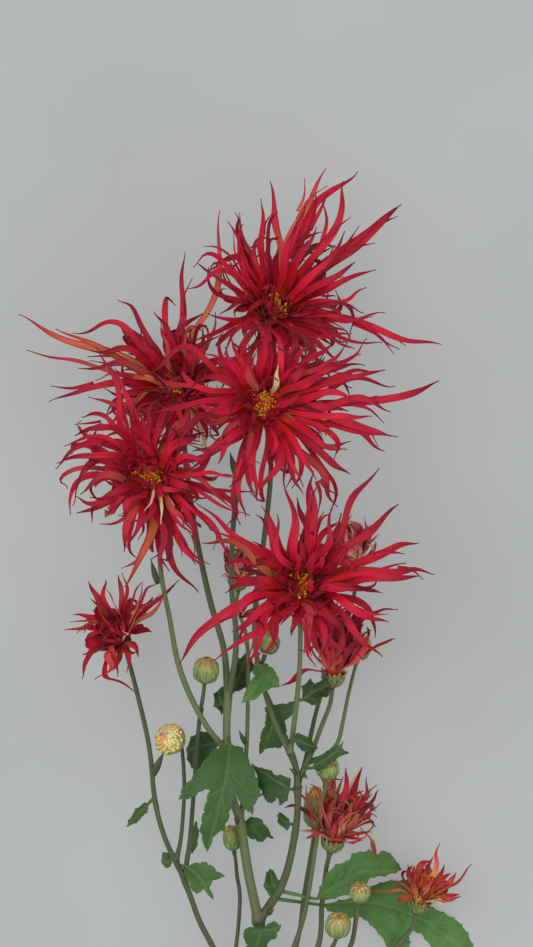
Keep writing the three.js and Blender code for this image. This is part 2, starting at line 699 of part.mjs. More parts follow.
// A floret is narrow at its root, widest past its middle and pointed.
function rayWidth(t, wide) {
  const widestAt = 0.62;
  const rootShare = 0.3;
  const tipShare = 0.14;
  const swelling = rootShare + (1 - rootShare) * Math.sin((Math.min(t / widestAt, 1) * Math.PI) / 2);
  const past = Math.max(0, t - widestAt) / (1 - widestAt);
  return Math.max(tipWide, wide * swelling * (1 - (1 - tipShare) * past ** 1.4));
}

// A keeled blade: flat above, with a ridge along its back
function blade(curve, wide, toward, twist, taperOnly = false) {
  const pieces = Math.min(4, Math.max(2, Math.round(curve.getLength() / raySection)));
  const rings = Array.from({ length: pieces + 1 }, (_, k) => {
    const t = k / pieces;
    const travel = curve.getTangent(t);
    const up = toward.clone().addScaledVector(travel, -toward.dot(travel)).normalize();
    const turnedUp = up.applyAxisAngle(travel, twist * t);
    const across = turnedUp.clone().cross(travel);
    const width = taperOnly ? Math.max(tipWide, wide * (1 - 0.8 * t)) : rayWidth(t, wide);
    const depth = Math.min(0.75 + 0.12 * width, 0.62 + width * 0.3);
    const middle = curve.getPoint(t);
    const corner = (x, y) => middle.clone().addScaledVector(across, x).addScaledVector(turnedUp, y);
    return [corner(width / 2, depth * 0.4), corner(-width / 2, depth * 0.4), corner(0, -depth * 0.6)];
  });
  return loft(rings);
}

// A floret keeps nearly half its width of height, so that its edges stay over the table.
function aboveTable(point, wide) {
  point.z = Math.max(point.z, wide * 0.45);
  return point;
}

// The way of a ray floret from the head through one place to its tip: upright ones start nearer the middle
// and higher up than those that lean outwards.
function rayWay(head, by, tip, wide) {
  const { origin, frame, size } = head;
  const out = by.clone().sub(origin);
  const rise = out.dot(frame.axis);
  const radial = out.clone().addScaledVector(frame.axis, -rise);
  const lean = Math.min(1, Math.max(0, Math.atan2(radial.length(), rise) / (Math.PI / 2)));
  radial.normalize();
  const ring = (3.9 + 0.6 * lean) * size;
  const ringHeight = (2.2 - 2.7 * lean) * size;
  const root = origin.clone().addScaledVector(radial, ring).addScaledVector(frame.axis, ringHeight);
  const toward = frame.axis.clone().addScaledVector(radial, -0.6);
  const curve = smoothWay([root, aboveTable(by, wide), aboveTable(tip, wide)]);
  return { curve, toward };
}

// The height of a tip over the heart: florets that look short point at the eye
function tipLift(bloom, tip) {
  const across = (tip[0] - bloom.heart[0]) * mmPerUnit;
  const up = (bloom.heart[1] - tip[1]) * mmPerUnit;
  const reach = (bloom.reach ?? bloomReach) * bloom.size;
  const spare = Math.sqrt(Math.max(0, reach * reach - across * across - up * up));
  const tilt = (across * bloom.faces[0] + up * bloom.faces[1]) / bloom.faces[2];
  const mostByTilt = 12;
  const byTilt = Math.max(-mostByTilt, Math.min(mostByTilt, -0.35 * tilt));
  const looksUp = bloom.faces[2] > 0.5;
  return byTilt + (0.5 * spare + 2) * (looksUp ? 1 : 0.25);
}

const heightTries = [0, 4, -4, 8, -8, 12, -12, 16, -16, 20, -20, 26, -26];
const rootAir = 11; // florets aren't tested nearer to their heart than this
const spreadAir = 12; // and beyond this distance the florets of one head part from each other
const lobeWide = 1.7;

function rayIsClear(name, head, curve, wide, spread = false) {
  const fromHeart = (point) => point.distanceTo(head.origin) / head.size;
  const points = spaced(curve, ballSpacing).filter((point) => fromHeart(point) > rootAir);
  const reach = Math.max(0.7, wide * 0.42);
  if (!isFree(points, reach, name)) return false;
  const outer = points.filter((point) => fromHeart(point) > spreadAir);
  if (spread && !isFree(outer, reach, null)) return false;
  fill(points, reach, name);
  return true;
}

// A hand-placed floret keeps its place in the view and changes height until it is clear.
function handPlacedRay(name, bloom, head, ray, twist) {
  const lowered = -8;
  const lift = ray.lift ?? (ray.back ? lowered : tipLift(bloom, ray.tip));
  const tries = [true, false].flatMap((spread) => heightTries.map((shift) => [shift, spread]));
  for (const [shift, spread] of tries) {
    const tipHeight = bloom.height + lift + shift;
    const arch = 3;
    const byHeight = bloom.height + 0.62 * lift + arch + 0.6 * shift;
    const way = rayWay(head, seen(ray.by, byHeight), seen(ray.tip, tipHeight), ray.wide);
    if (!rayIsClear(name, head, way.curve, ray.wide, spread)) continue;
    const lobes = (ray.lobes ?? []).map((lobe) => lobeWay(way.curve, lobe));
    const free = lobes.filter((lobe) => rayIsClear(name, head, lobe, lobeWide));
    return { ...way, wide: ray.wide, twist, lobes: free };
  }
  return null;
}

// A side point of a floret leaves its edge a little before the place nearest to its own tip.
function lobeWay(curve, lobe) {
  const shares = Array.from({ length: 17 }, (_, k) => 0.2 + k * 0.05);
  const reachTo = (share) => {
    const place = curve.getPoint(share);
    return place.distanceTo(seen(lobe, place.z));
  };
  const nearest = shares.reduce((best, share) => (reachTo(share) < reachTo(best) ? share : best));
  const start = curve.getPoint(Math.max(0.25, nearest - 0.3));
  const tip = seen(lobe, curve.getPoint(nearest).z + 1);
  const middle = start.clone().lerp(tip, 0.5).lerp(curve.getPoint(nearest - 0.1), 0.35);
  return smoothWay([start, middle, tip]);
}

const goldenTurn = 2.399963;
const attempts = { all: 9, spread: 6, seedStep: 7919 };

// A floret drawn by rule stands on a spiral: steep and short inside, long and spread outside.
function seededRay(name, bloom, head, index, count, seedBase) {
  for (let attempt = 0; attempt < attempts.all; attempt++) {
    const random = seededNumbers(seedBase + index * 31 + attempt * attempts.seedStep);
    const share = (index + 0.5) / count;
    const turn = index * goldenTurn + seedBase + (random() - 0.5) * 0.9;
    const tilt = 0.3 + 1.45 * Math.sqrt(share) + (random() - 0.5) * 0.35;
    const reach = (bloom.reach ?? bloomReach) * head.size;
    const length = reach * (0.5 + 0.34 * share) * (0.8 + 0.4 * random());
    const bend = 0.15 + 0.35 * random();
    const swirl = (random() - 0.5) * 0.5;
    const way = (angle, sideways, distance) => {
      const [radius, along] = [distance * Math.sin(angle), distance * Math.cos(angle)];
      return fromAxis(head.origin, head.frame, radius, turn + sideways, along);
    };
    const wide = (2.4 + 1.3 * random()) * (0.6 + 0.4 * head.size);
    const by = way(tilt, 0, length * 0.55);
    const tip = way(tilt + bend, swirl, length);
    const made = rayWay(head, by, tip, wide);
    if (!rayIsClear(name, head, made.curve, wide, attempt < attempts.spread)) continue;
    return { ...made, wide, twist: (random() - 0.5) * 0.8, lobes: [] };
  }
  return null;
}

const waitingHeads = Object.entries(blooms).map(([name, bloom], order) => {
  const head = headOf(name);
  return { name, bloom, head, order, rays: [] };
});

// The stem, the buds and the heads fill the air first, then leaves, then florets.
function fillStemAndHeads() {
  for (const branch of Object.values(branches)) {
    fill(spaced(branchCurve(branch), ballSpacing), Math.max(...branch.wide) / 2, "stem");
  }
  for (const { name, head } of waitingHeads) {
    const cup = head.origin.clone().addScaledVector(head.frame.axis, -4 * head.size);
    fill([head.origin], (coreRadius + 1) * head.size, name);
    fill([cup], coreRadius * head.size, name);
  }
  for (const [name, { at, height, faces, wide, tall }] of Object.entries(buds)) {
    const { axis } = flowerFrame(faces);
    const middle = seen(at, height);
    const shoulder = Math.max(0, (tall - wide) / 2);
    fill([-shoulder, 0, shoulder].map((k) => middle.clone().addScaledVector(axis, k)), wide / 2, name);
  }
}

// How far a place is from the middle rib, and how far along the rib the nearest place of it is
function nearestOnRib(rib, [across, down]) {
  let best = { distance: Infinity, along: 0 };
  for (let k = 0; k + 1 < rib.length; k++) {
    const [ax, ay] = rib[k];
    const [bx, by] = rib[k + 1];
    const lengthSquared = (bx - ax) ** 2 + (by - ay) ** 2;
    const ahead = ((across - ax) * (bx - ax) + (down - ay) * (by - ay)) / lengthSquared;
    const share = Math.min(1, Math.max(0, ahead));
    const distance = Math.hypot(across - ax - share * (bx - ax), down - ay - share * (by - ay));
    if (distance < best.distance) best = { distance, along: (k + share) / (rib.length - 1) };
  }
  return best;
}

const foldReach = 9; // how far from the rib a leaf's sides still turn up

function leafHeight(leaf, point, shift) {
  const { distance, along } = nearestOnRib(leaf.rib, point);
  const [foot, tip] = leaf.heights;
  const sides = leaf.fold * Math.min(distance * mmPerUnit, foldReach);
  const height = foot + (tip - foot) * along + leaf.bow * 4 * along * (1 - along) + sides + shift;
  return Math.max(height, bladeThick / 2);
}

function isInside(outline, [across, down]) {
  let inside = false;
  outline.forEach(([ax, ay], k) => {
    const [bx, by] = outline[(k + 1) % outline.length];
    if (ay > down !== by > down && across < ((bx - ax) * (down - ay)) / (by - ay) + ax) inside = !inside;
  });
  return inside;
}

function leafOutline(leaf) {
  const tip = leaf.rib.at(-1);
  return [leaf.rib[0], ...leaf.left, tip, ...[...leaf.right].reverse()];
}

// Places all over a leaf, where it is tested against the air
function leafSamples(leaf, shift) {
  const step = 6;
  const outline = leafOutline(leaf);
  const samples = [...outline, ...leaf.rib];
  const low = Math.min(...outline.map(([across]) => across));
  const high = Math.max(...outline.map(([across]) => across));
  const top = Math.min(...outline.map(([, down]) => down));
  const bottom = Math.max(...outline.map(([, down]) => down));
  for (let across = low; across <= high; across += step) {
    for (let down = top; down <= bottom; down += step) {
      if (isInside(outline, [across, down])) samples.push([across, down]);
    }
  }
  return samples.map((point) => seen(point, leafHeight(leaf, point, shift)));
}

const leafAir = { radius: 1.1, nearStalk: 7 };

// How far a leaf is raised or lowered to be clear of what is there already
function leafShift(name, leaf) {
  const root = seen(leaf.from, leaf.from[2]);
  for (const shift of heightTries) {
    const samples = leafSamples(leaf, shift);
    const away = samples.filter((point) => point.distanceTo(root) > leafAir.nearStalk);
    if (isFree(away, leafAir.radius, name)) {
      fill(samples, leafAir.radius, name);
      return shift;
    }
  }
  return null;
}

// The blade: both faces carry the same triangles, and the middle rib is an edge between its halves.
function leafBlade(leaf, shift) {
  const rib = leaf.rib;
  const flat = [...rib, ...leaf.left, ...leaf.right];
  const leftFirst = rib.length;
  const rightFirst = leftFirst + leaf.left.length;
  const ribIndex = rib.map((_, k) => k);
  const edges = [leaf.left.map((_, k) => leftFirst + k), leaf.right.map((_, k) => rightFirst + k)];
  const halves = edges.map((edge) => [0, ...edge, ...ribIndex.slice(1).reverse()]);
  const triangles = halves.flatMap((half) => {
    const contour = half.map((index) => new THREE.Vector2(flat[index][0], -flat[index][1]));
    return THREE.ShapeUtils.triangulateShape(contour, []).map((face) => face.map((k) => half[k]));
  });
  return thickSheet(flat.map((point) => seen(point, leafHeight(leaf, point, shift))), triangles);
}

function thickSheet(points, triangles) {
  const count = points.length;
  const faces = [];
  const edges = new Map();
  for (let [a, b, c] of triangles) {
    const ahead = points[b].clone().sub(points[a]);
    const aside = points[c].clone().sub(points[a]);
    if (ahead.x * aside.y - ahead.y * aside.x < 0) [b, c] = [c, b];
    faces.push(a, b, c, a + count, c + count, b + count);
    for (const [from, to] of [[a, b], [b, c], [c, a]]) edges.set(from + "," + to, [from, to]);
  }
  for (const [from, to] of edges.values()) {
    if (edges.has(to + "," + from)) continue;
    faces.push(to, from, from + count, to, from + count, to + count);
  }
  const places = [...points, ...points].flatMap((point, k) => [
    point.x,
    point.y,
    point.z + (k < count ? bladeThick / 2 : -bladeThick / 2),
  ]);
  return solidOf(places, faces);
}

const stalkWidths = [1.7, 1.3];

function leafStalk(leaf, shift) {
  const start = seen(leaf.from, leaf.from[2]);
  const foot = leaf.rib[0];
  const end = seen(foot, leafHeight(leaf, foot, shift));
  const inside = seen(leaf.rib[1], leafHeight(leaf, leaf.rib[1], shift));
  const into = end.clone().lerp(inside, 0.25);
  const middle = start.clone().lerp(end, 0.5);
  const way = [start, middle, end, into];
  for (const point of way) point.z = Math.max(point.z, stalkWidths[0] * 0.6);
  return stalk(smoothWay(way), stalkWidths, 4);
}

function meshOf(name, solid, colour) {
  const { vertProperties, triVerts } = solid.getMesh();
  const geometry = new THREE.BufferGeometry();
  geometry.setAttribute("position", new THREE.BufferAttribute(vertProperties, 3));
  geometry.setIndex(new THREE.BufferAttribute(triVerts, 1));
  const material = new THREE.MeshStandardMaterial({ color: colour, roughness: 0.7, metalness: 0 });
  const mesh = new THREE.Mesh(geometry.toNonIndexed(), material);
  mesh.geometry.computeVertexNormals();
  mesh.name = name;
  return mesh;
}

// The head that the florets grow from, the cup of bracts under it and the dome of tube florets on it
function headCore({ origin, frame, size }) {
  const { crown, waist, hem } = headSizes;
  const profile = [[4.4, hem], [coreRadius, -0.6], [coreRadius, waist], [4.4, crown]];
  return turned(origin, frame, profile.map(([radius, along]) => [radius * size, along * size]), 10);
}

const cupProfile = [[1.7, headSizes.cupFoot], [3.9, -7.9], [5.5, -5.2, 0.4], [6.1, headSizes.hem - gap, 1]];

function headCup({ origin, frame, size }) {
  const profile = cupProfile.map(([radius, along, notched]) => [radius * size, along * size, notched]);
  return turned(origin, frame, profile, 10, 0.12, 1.3 * size);
}

function cupCutter({ origin, frame, size }) {
  const spare = gap / size;
  const wide = cupProfile.at(-1)[0] + spare;
  const profile = [[3, headSizes.cupFoot], [wide, -6], [wide, headSizes.hem], [0.5, headSizes.hem]];
  return turned(origin, frame, profile.map(([radius, along]) => [radius * size, along * size]), 14);
}

const discRadius = 3;

function headDisc({ origin, frame, size }) {
  const foot = headSizes.crown + gap / size;
  const profile = [[discRadius, foot], [discRadius * 0.95, foot + 1.2], [discRadius * 0.6, foot + 2.2]];
  const dome = turned(origin, frame, profile.map(([radius, along]) => [radius * size, along * size]), 8);
  const florets = Array.from({ length: 5 }, (_, k) => {
    const turn = (k / 4) * 2 * Math.PI;
    const inMiddle = k === 4;
    const radius = (inMiddle ? 0 : discRadius * 0.6) * size;
    const middle = fromAxis(origin, frame, radius, turn, 0);
    const stages = [[0.6, foot + 0.8], [0.75, foot + 3.3]];
    return turned(middle, frame, stages.map(([wide, along]) => [wide * size, along * size]), 3);
  });
  return joined([dome, ...florets]);
}

function discCutter({ origin, frame, size }) {
  const radius = discRadius + gap / size;
  const deep = 4.2;
  const profile = [[radius, headSizes.crown], [radius, headSizes.crown + deep]];
  return turned(origin, frame, profile.map(([wide, along]) => [wide * size, along * size]), 10);
}

// A bud: overlapping bracts make ribs that fade towards its crown.
function budSolid({ at, height, faces, wide, tall }) {
  const frame = flowerFrame(faces);
  const profile = [[0.34, -0.5], [0.8, -0.36], [1, -0.05], [0.92, 0.22], [0.62, 0.42], [0.2, 0.5]];
  const rings = profile.map(([radius, along]) => [(radius * wide) / 2, along * tall]);
  return turned(seen(at, height), frame, rings, 10, 0.1);
}

const part = new THREE.Group();

fillStemAndHeads();
const stemSolid = wholeStem(0);
const stemCutter = wholeStem(gap);
part.add(meshOf("stem", stemSolid, colours.stem));

for (const [name, leaf] of Object.entries(leaves)) {
  const shift = leafShift(name, leaf);
  if (shift === null) continue;
  const whole = joined([leafBlade(leaf, shift), leafStalk(leaf, shift)]);
  part.add(meshOf("leaf_" + name, largestBody(whole.subtract(stemCutter)), colours.leaf));
}

for (const [name, bud] of Object.entries(buds)) part.add(meshOf(name, budSolid(bud), colours.bud));

// All hand-placed florets find their way before those drawn by rule.
for (const { name, bloom, head, order, rays } of waitingHeads) {
  const random = seededNumbers(101 + order);
  for (const ray of bloom.rays) {
    const twist = (random() - 0.5) * 0.7;
    const made = handPlacedRay(name, bloom, head, ray, twist);
    if (made) rays.push(made);
  }
}
for (const { name, bloom, head, order, rays } of waitingHeads) {
  for (let index = 0; index < bloom.seeded; index++) {
    const made = seededRay(name, bloom, head, index, bloom.seeded, 500 + order * 97);
    if (made) rays.push(made);
  }
}

for (const { name, bloom, head, rays } of waitingHeads) {
  const blades = rays.flatMap((ray) => [
    blade(ray.curve, ray.wide, ray.toward, ray.twist),
    ...ray.lobes.map((lobe) => blade(lobe, lobeWide, ray.toward, 0, true)),
  ]);
  const whole = joined([headCore(head), ...blades]).subtract(discCutter(head)).subtract(cupCutter(head));
  part.add(meshOf("rays_" + name, largestBody(whole), colours[bloom.colour]));
  part.add(meshOf("calyx_" + name, headCup(head), colours.calyx));
  if (bloom.open) part.add(meshOf("disc_" + name, headDisc(head), colours.disc));
}

// The origin is the middle of the part's box, on the table.
const box = new THREE.Box3().setFromObject(part);
part.position.set(-(box.min.x + box.max.x) / 2, -(box.min.y + box.max.y) / 2, 0);

export default part;
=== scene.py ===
import json
import math

import bpy
import numpy as np
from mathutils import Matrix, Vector, geometry

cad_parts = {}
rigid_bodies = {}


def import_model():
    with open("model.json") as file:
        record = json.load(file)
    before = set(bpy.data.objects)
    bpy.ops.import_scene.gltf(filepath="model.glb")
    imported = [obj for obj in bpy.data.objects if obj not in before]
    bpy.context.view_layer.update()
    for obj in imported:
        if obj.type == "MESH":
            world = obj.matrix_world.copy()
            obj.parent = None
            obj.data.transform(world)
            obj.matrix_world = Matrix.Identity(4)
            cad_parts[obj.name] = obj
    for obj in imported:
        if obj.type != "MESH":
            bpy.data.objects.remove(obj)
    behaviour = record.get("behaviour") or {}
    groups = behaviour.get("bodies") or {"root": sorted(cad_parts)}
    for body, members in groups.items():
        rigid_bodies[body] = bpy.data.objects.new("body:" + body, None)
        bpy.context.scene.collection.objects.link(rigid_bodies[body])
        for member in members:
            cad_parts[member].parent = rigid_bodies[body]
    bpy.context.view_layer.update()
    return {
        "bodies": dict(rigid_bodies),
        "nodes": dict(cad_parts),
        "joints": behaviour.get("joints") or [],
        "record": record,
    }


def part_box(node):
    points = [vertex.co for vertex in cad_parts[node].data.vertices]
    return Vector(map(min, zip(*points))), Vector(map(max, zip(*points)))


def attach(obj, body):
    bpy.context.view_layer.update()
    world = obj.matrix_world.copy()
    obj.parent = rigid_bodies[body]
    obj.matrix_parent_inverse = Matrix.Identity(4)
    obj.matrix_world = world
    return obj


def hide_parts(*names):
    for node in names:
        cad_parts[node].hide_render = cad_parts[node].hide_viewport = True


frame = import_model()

# A branched flower stem of a thread-petalled chrysanthemum, laid down on a table and seen from above.
# Places repeat the solid model's: units across and down as an eye over the table sees them, heights in mm.
EYE_HEIGHT = 1500.0  # mm
MM_PER_UNIT = 0.4167
VIEW_MIDDLE = (266.5, 473.5)
PICTURE = (533, 947)
METRES = 0.001

# Driving sizes of the solid model, in millimetres
BLOOM_REACH = 50.0
CORE_RADIUS = 5.1
GAP = 0.3
LEAF_THICK = 0.9
CLEAR_OF = 0.45
CUT_END_WIDE = 6.4
CUT_END_AT = [262, 1130]
REST_HEIGHT = CUT_END_WIDE / 2 * math.cos(math.pi / 6)
CROWN, WAIST, HEM, CUP_FOOT = 2.8, 1.2, -2.2, -9.5
HEIGHT_TRIES = [0, 4, -4, 8, -8, 12, -12, 16, -16, 20, -20, 26, -26]
ROOT_AIR = 11.0
SPREAD_AIR = 12.0
LOBE_WIDE = 1.7
CELL = 8.0
GOLDEN_TURN = 2.399963
BALL_SPACING = 1.6  # between the balls that stand for a floret or a branch
ATTEMPTS = 9  # tries for a floret drawn by rule
NEXT_ATTEMPT = 7919  # between the seeds of two tries
FILLING_ATTEMPTS = 8
LAYER_SEED = 70001
SAFE_ATTEMPTS = 6  # of these, tries that also keep clear of the head's own florets
FOLD_REACH = 9  # from the middle rib, as far as a blade rises
LEAF_AIR = 1.1
STALK_REACH = 7
FLORET_REST = 0.35  # the lowest that a floret's middle lies
BLADE_REST = 0.4
BLADE_THICK = 0.34
FACE_LEAN = 0.6  # how far a floret's face turns to the middle of its head


# A listed floret: the place of its tip, a place on its way and its width
def floret(tip, by, wide, **more):
    return {"tip": tip, "by": by, "wide": wide, **more}


# The stem's branches: [across, down, height] from where each leaves its parent, and its width at both ends
BRANCHES = {
    "cutEnd": {
        "wide": [CUT_END_WIDE, CUT_END_WIDE], "way": [[*CUT_END_AT, REST_HEIGHT], [262, 1096, REST_HEIGHT]],
    },
    "main": {
        "wide": [CUT_END_WIDE, 5.4],
        "way": [
            [262, 1100, REST_HEIGHT], [262, 1040, 4.6], [262, 980, 8.5], [262, 947, 11], [258, 915, 13],
        ],
    },
    "leftMain": {
        "wide": [5, 3.6],
        "way": [
            [259, 922, 13], [248, 870, 17], [240, 820, 20], [232, 795, 21.5], [227, 740, 25],
            [228, 690, 28],
        ],
    },
    "toUpperLeft": {
        "wide": [3.2, 2.4],
        "way": [
            [228, 700, 27], [224, 650, 25], [210, 600, 21], [196, 535, 16], [188, 480, 12], [184, 430, 10],
        ],
        "to": "upperLeft",
    },
    "toMiddle": {
        "wide": [3, 2.4],
        "way": [
            [228, 700, 27], [235, 660, 31], [236, 630, 33], [232, 590, 36], [233, 530, 40], [240, 475, 43],
        ],
        "to": "middle",
    },
    "toLowerLeft": {
        "wide": [3, 2.2],
        "way": [
            [228, 752, 24], [208, 728, 27], [190, 695, 30], [178, 662, 32], [170, 620, 34], [160, 560, 35],
        ],
        "to": "lowerLeft",
    },
    "rightMain": {
        "wide": [4.4, 3],
        "way": [
            [259, 920, 13], [270, 905, 15], [282, 885, 18], [290, 860, 21], [297, 820, 25], [298, 780, 29],
        ],
    },
    "rightFork": {"wide": [3, 2.8], "way": [[298, 788, 28.5], [296, 768, 30], [290, 750, 32]]},
    "toFront": {
        "wide": [2.8, 2.4], "way": [[290, 752, 32], [292, 740, 34], [297, 700, 41], [300, 660, 49]],
        "to": "front",
    },
    "toTop": {
        "wide": [2.8, 2.4],
        "way": [
            [291, 754, 32], [275, 722, 29], [262, 680, 25], [255, 640, 21], [257, 590, 18], [264, 540, 15],
            [271, 470, 13], [268, 400, 12],
        ],
        "to": "top",
    },
    "toWiltedRight": {
        "wide": [2.6, 1.8],
        "way": [
            [298, 782, 28], [305, 764, 25], [312, 730, 17], [319, 702, 12], [331, 665, 9], [345, 620, 8],
        ],
        "to": "wiltedRight",
    },
    "toBehindFront": {
        "wide": [2.4, 2], "way": [[301, 776, 28], [312, 752, 26.5], [321, 728, 25]], "to": "behindFront",
    },
    "toSideBud": {
        "wide": [2.2, 1.7],
        "way": [[305, 763, 25], [322, 757, 22.5], [337, 744, 21], [343, 722, 20], [348, 697, 19]],
        "to": "sideBud",
    },
    "toWiltedLeft": {
        "wide": [2.2, 1.7], "way": [[241, 824, 20], [246, 760, 18], [248, 700, 19], [247, 640, 22]],
        "to": "wiltedLeft",
    },
    "toHangingBud": {"wide": [1.8, 1.5], "way": [[259, 674, 24], [263, 665, 22]], "to": "hangingBud"},
    "toLeftSmall": {
        "wide": [3.2, 2.2],
        "way": [
            [262, 1044, 5], [236, 994, 8], [213, 947, 11], [200, 922, 13], [190, 895, 15], [180, 870, 17],
            [165, 838, 19], [155, 800, 21], [148, 740, 23],
        ],
        "to": "leftSmall",
    },
    "toOpeningBud": {
        "wide": [2.2, 1.7], "way": [[176, 861, 17.5], [181, 838, 21], [184, 800, 25], [184, 775, 27]],
        "to": "openingBud",
    },
    "toStripedBud": {
        "wide": [2.4, 1.8], "way": [[184, 879, 16], [190, 840, 16], [194, 790, 19], [199, 725, 24]],
        "to": "stripedBud",
    },
    "toPaleBud": {
        "wide": [2.2, 1.7], "way": [[228, 978, 9], [236, 947, 8], [240, 900, 9], [237, 875, 10]],
        "to": "paleBud",
    },
    "toRightSmall": {
        "wide": [3, 2.2],
        "way": [[262, 1046, 5], [292, 1000, 6], [318, 947, 8], [322, 905, 10], [325, 880, 12]],
        "to": "rightSmall",
    },
    "toRoundBud": {
        "wide": [2.6, 1.7],
        "way": [
            [262, 1020, 6.5], [278, 985, 10], [300, 930, 15], [309, 890, 19], [316, 845, 24],
            [322, 805, 28],
        ],
        "to": "roundBud",
    },
    "toHalfOpenBud": {
        "wide": [2.4, 1.8], "way": [[264, 1036, 6], [284, 992, 6], [298, 940, 7], [304, 895, 9]],
        "to": "halfOpenBud",
    },
    "toYellowBud": {
        "wide": [2.8, 2], "way": [[296, 992, 6.2], [330, 970, 10], [350, 947, 16], [356, 920, 22]],
        "to": "yellowBud",
    },
    "toLowBud": {"wide": [2.4, 1.9], "way": [[309, 966, 7.3], [328, 952, 13]], "to": "lowBud"},
    "toLowRight": {
        "wide": [2.8, 2],
        "way": [[262, 1052, 4.6], [300, 1030, 5], [350, 990, 6], [388, 955, 8], [402, 940, 9]],
        "to": "lowRight",
    },
}
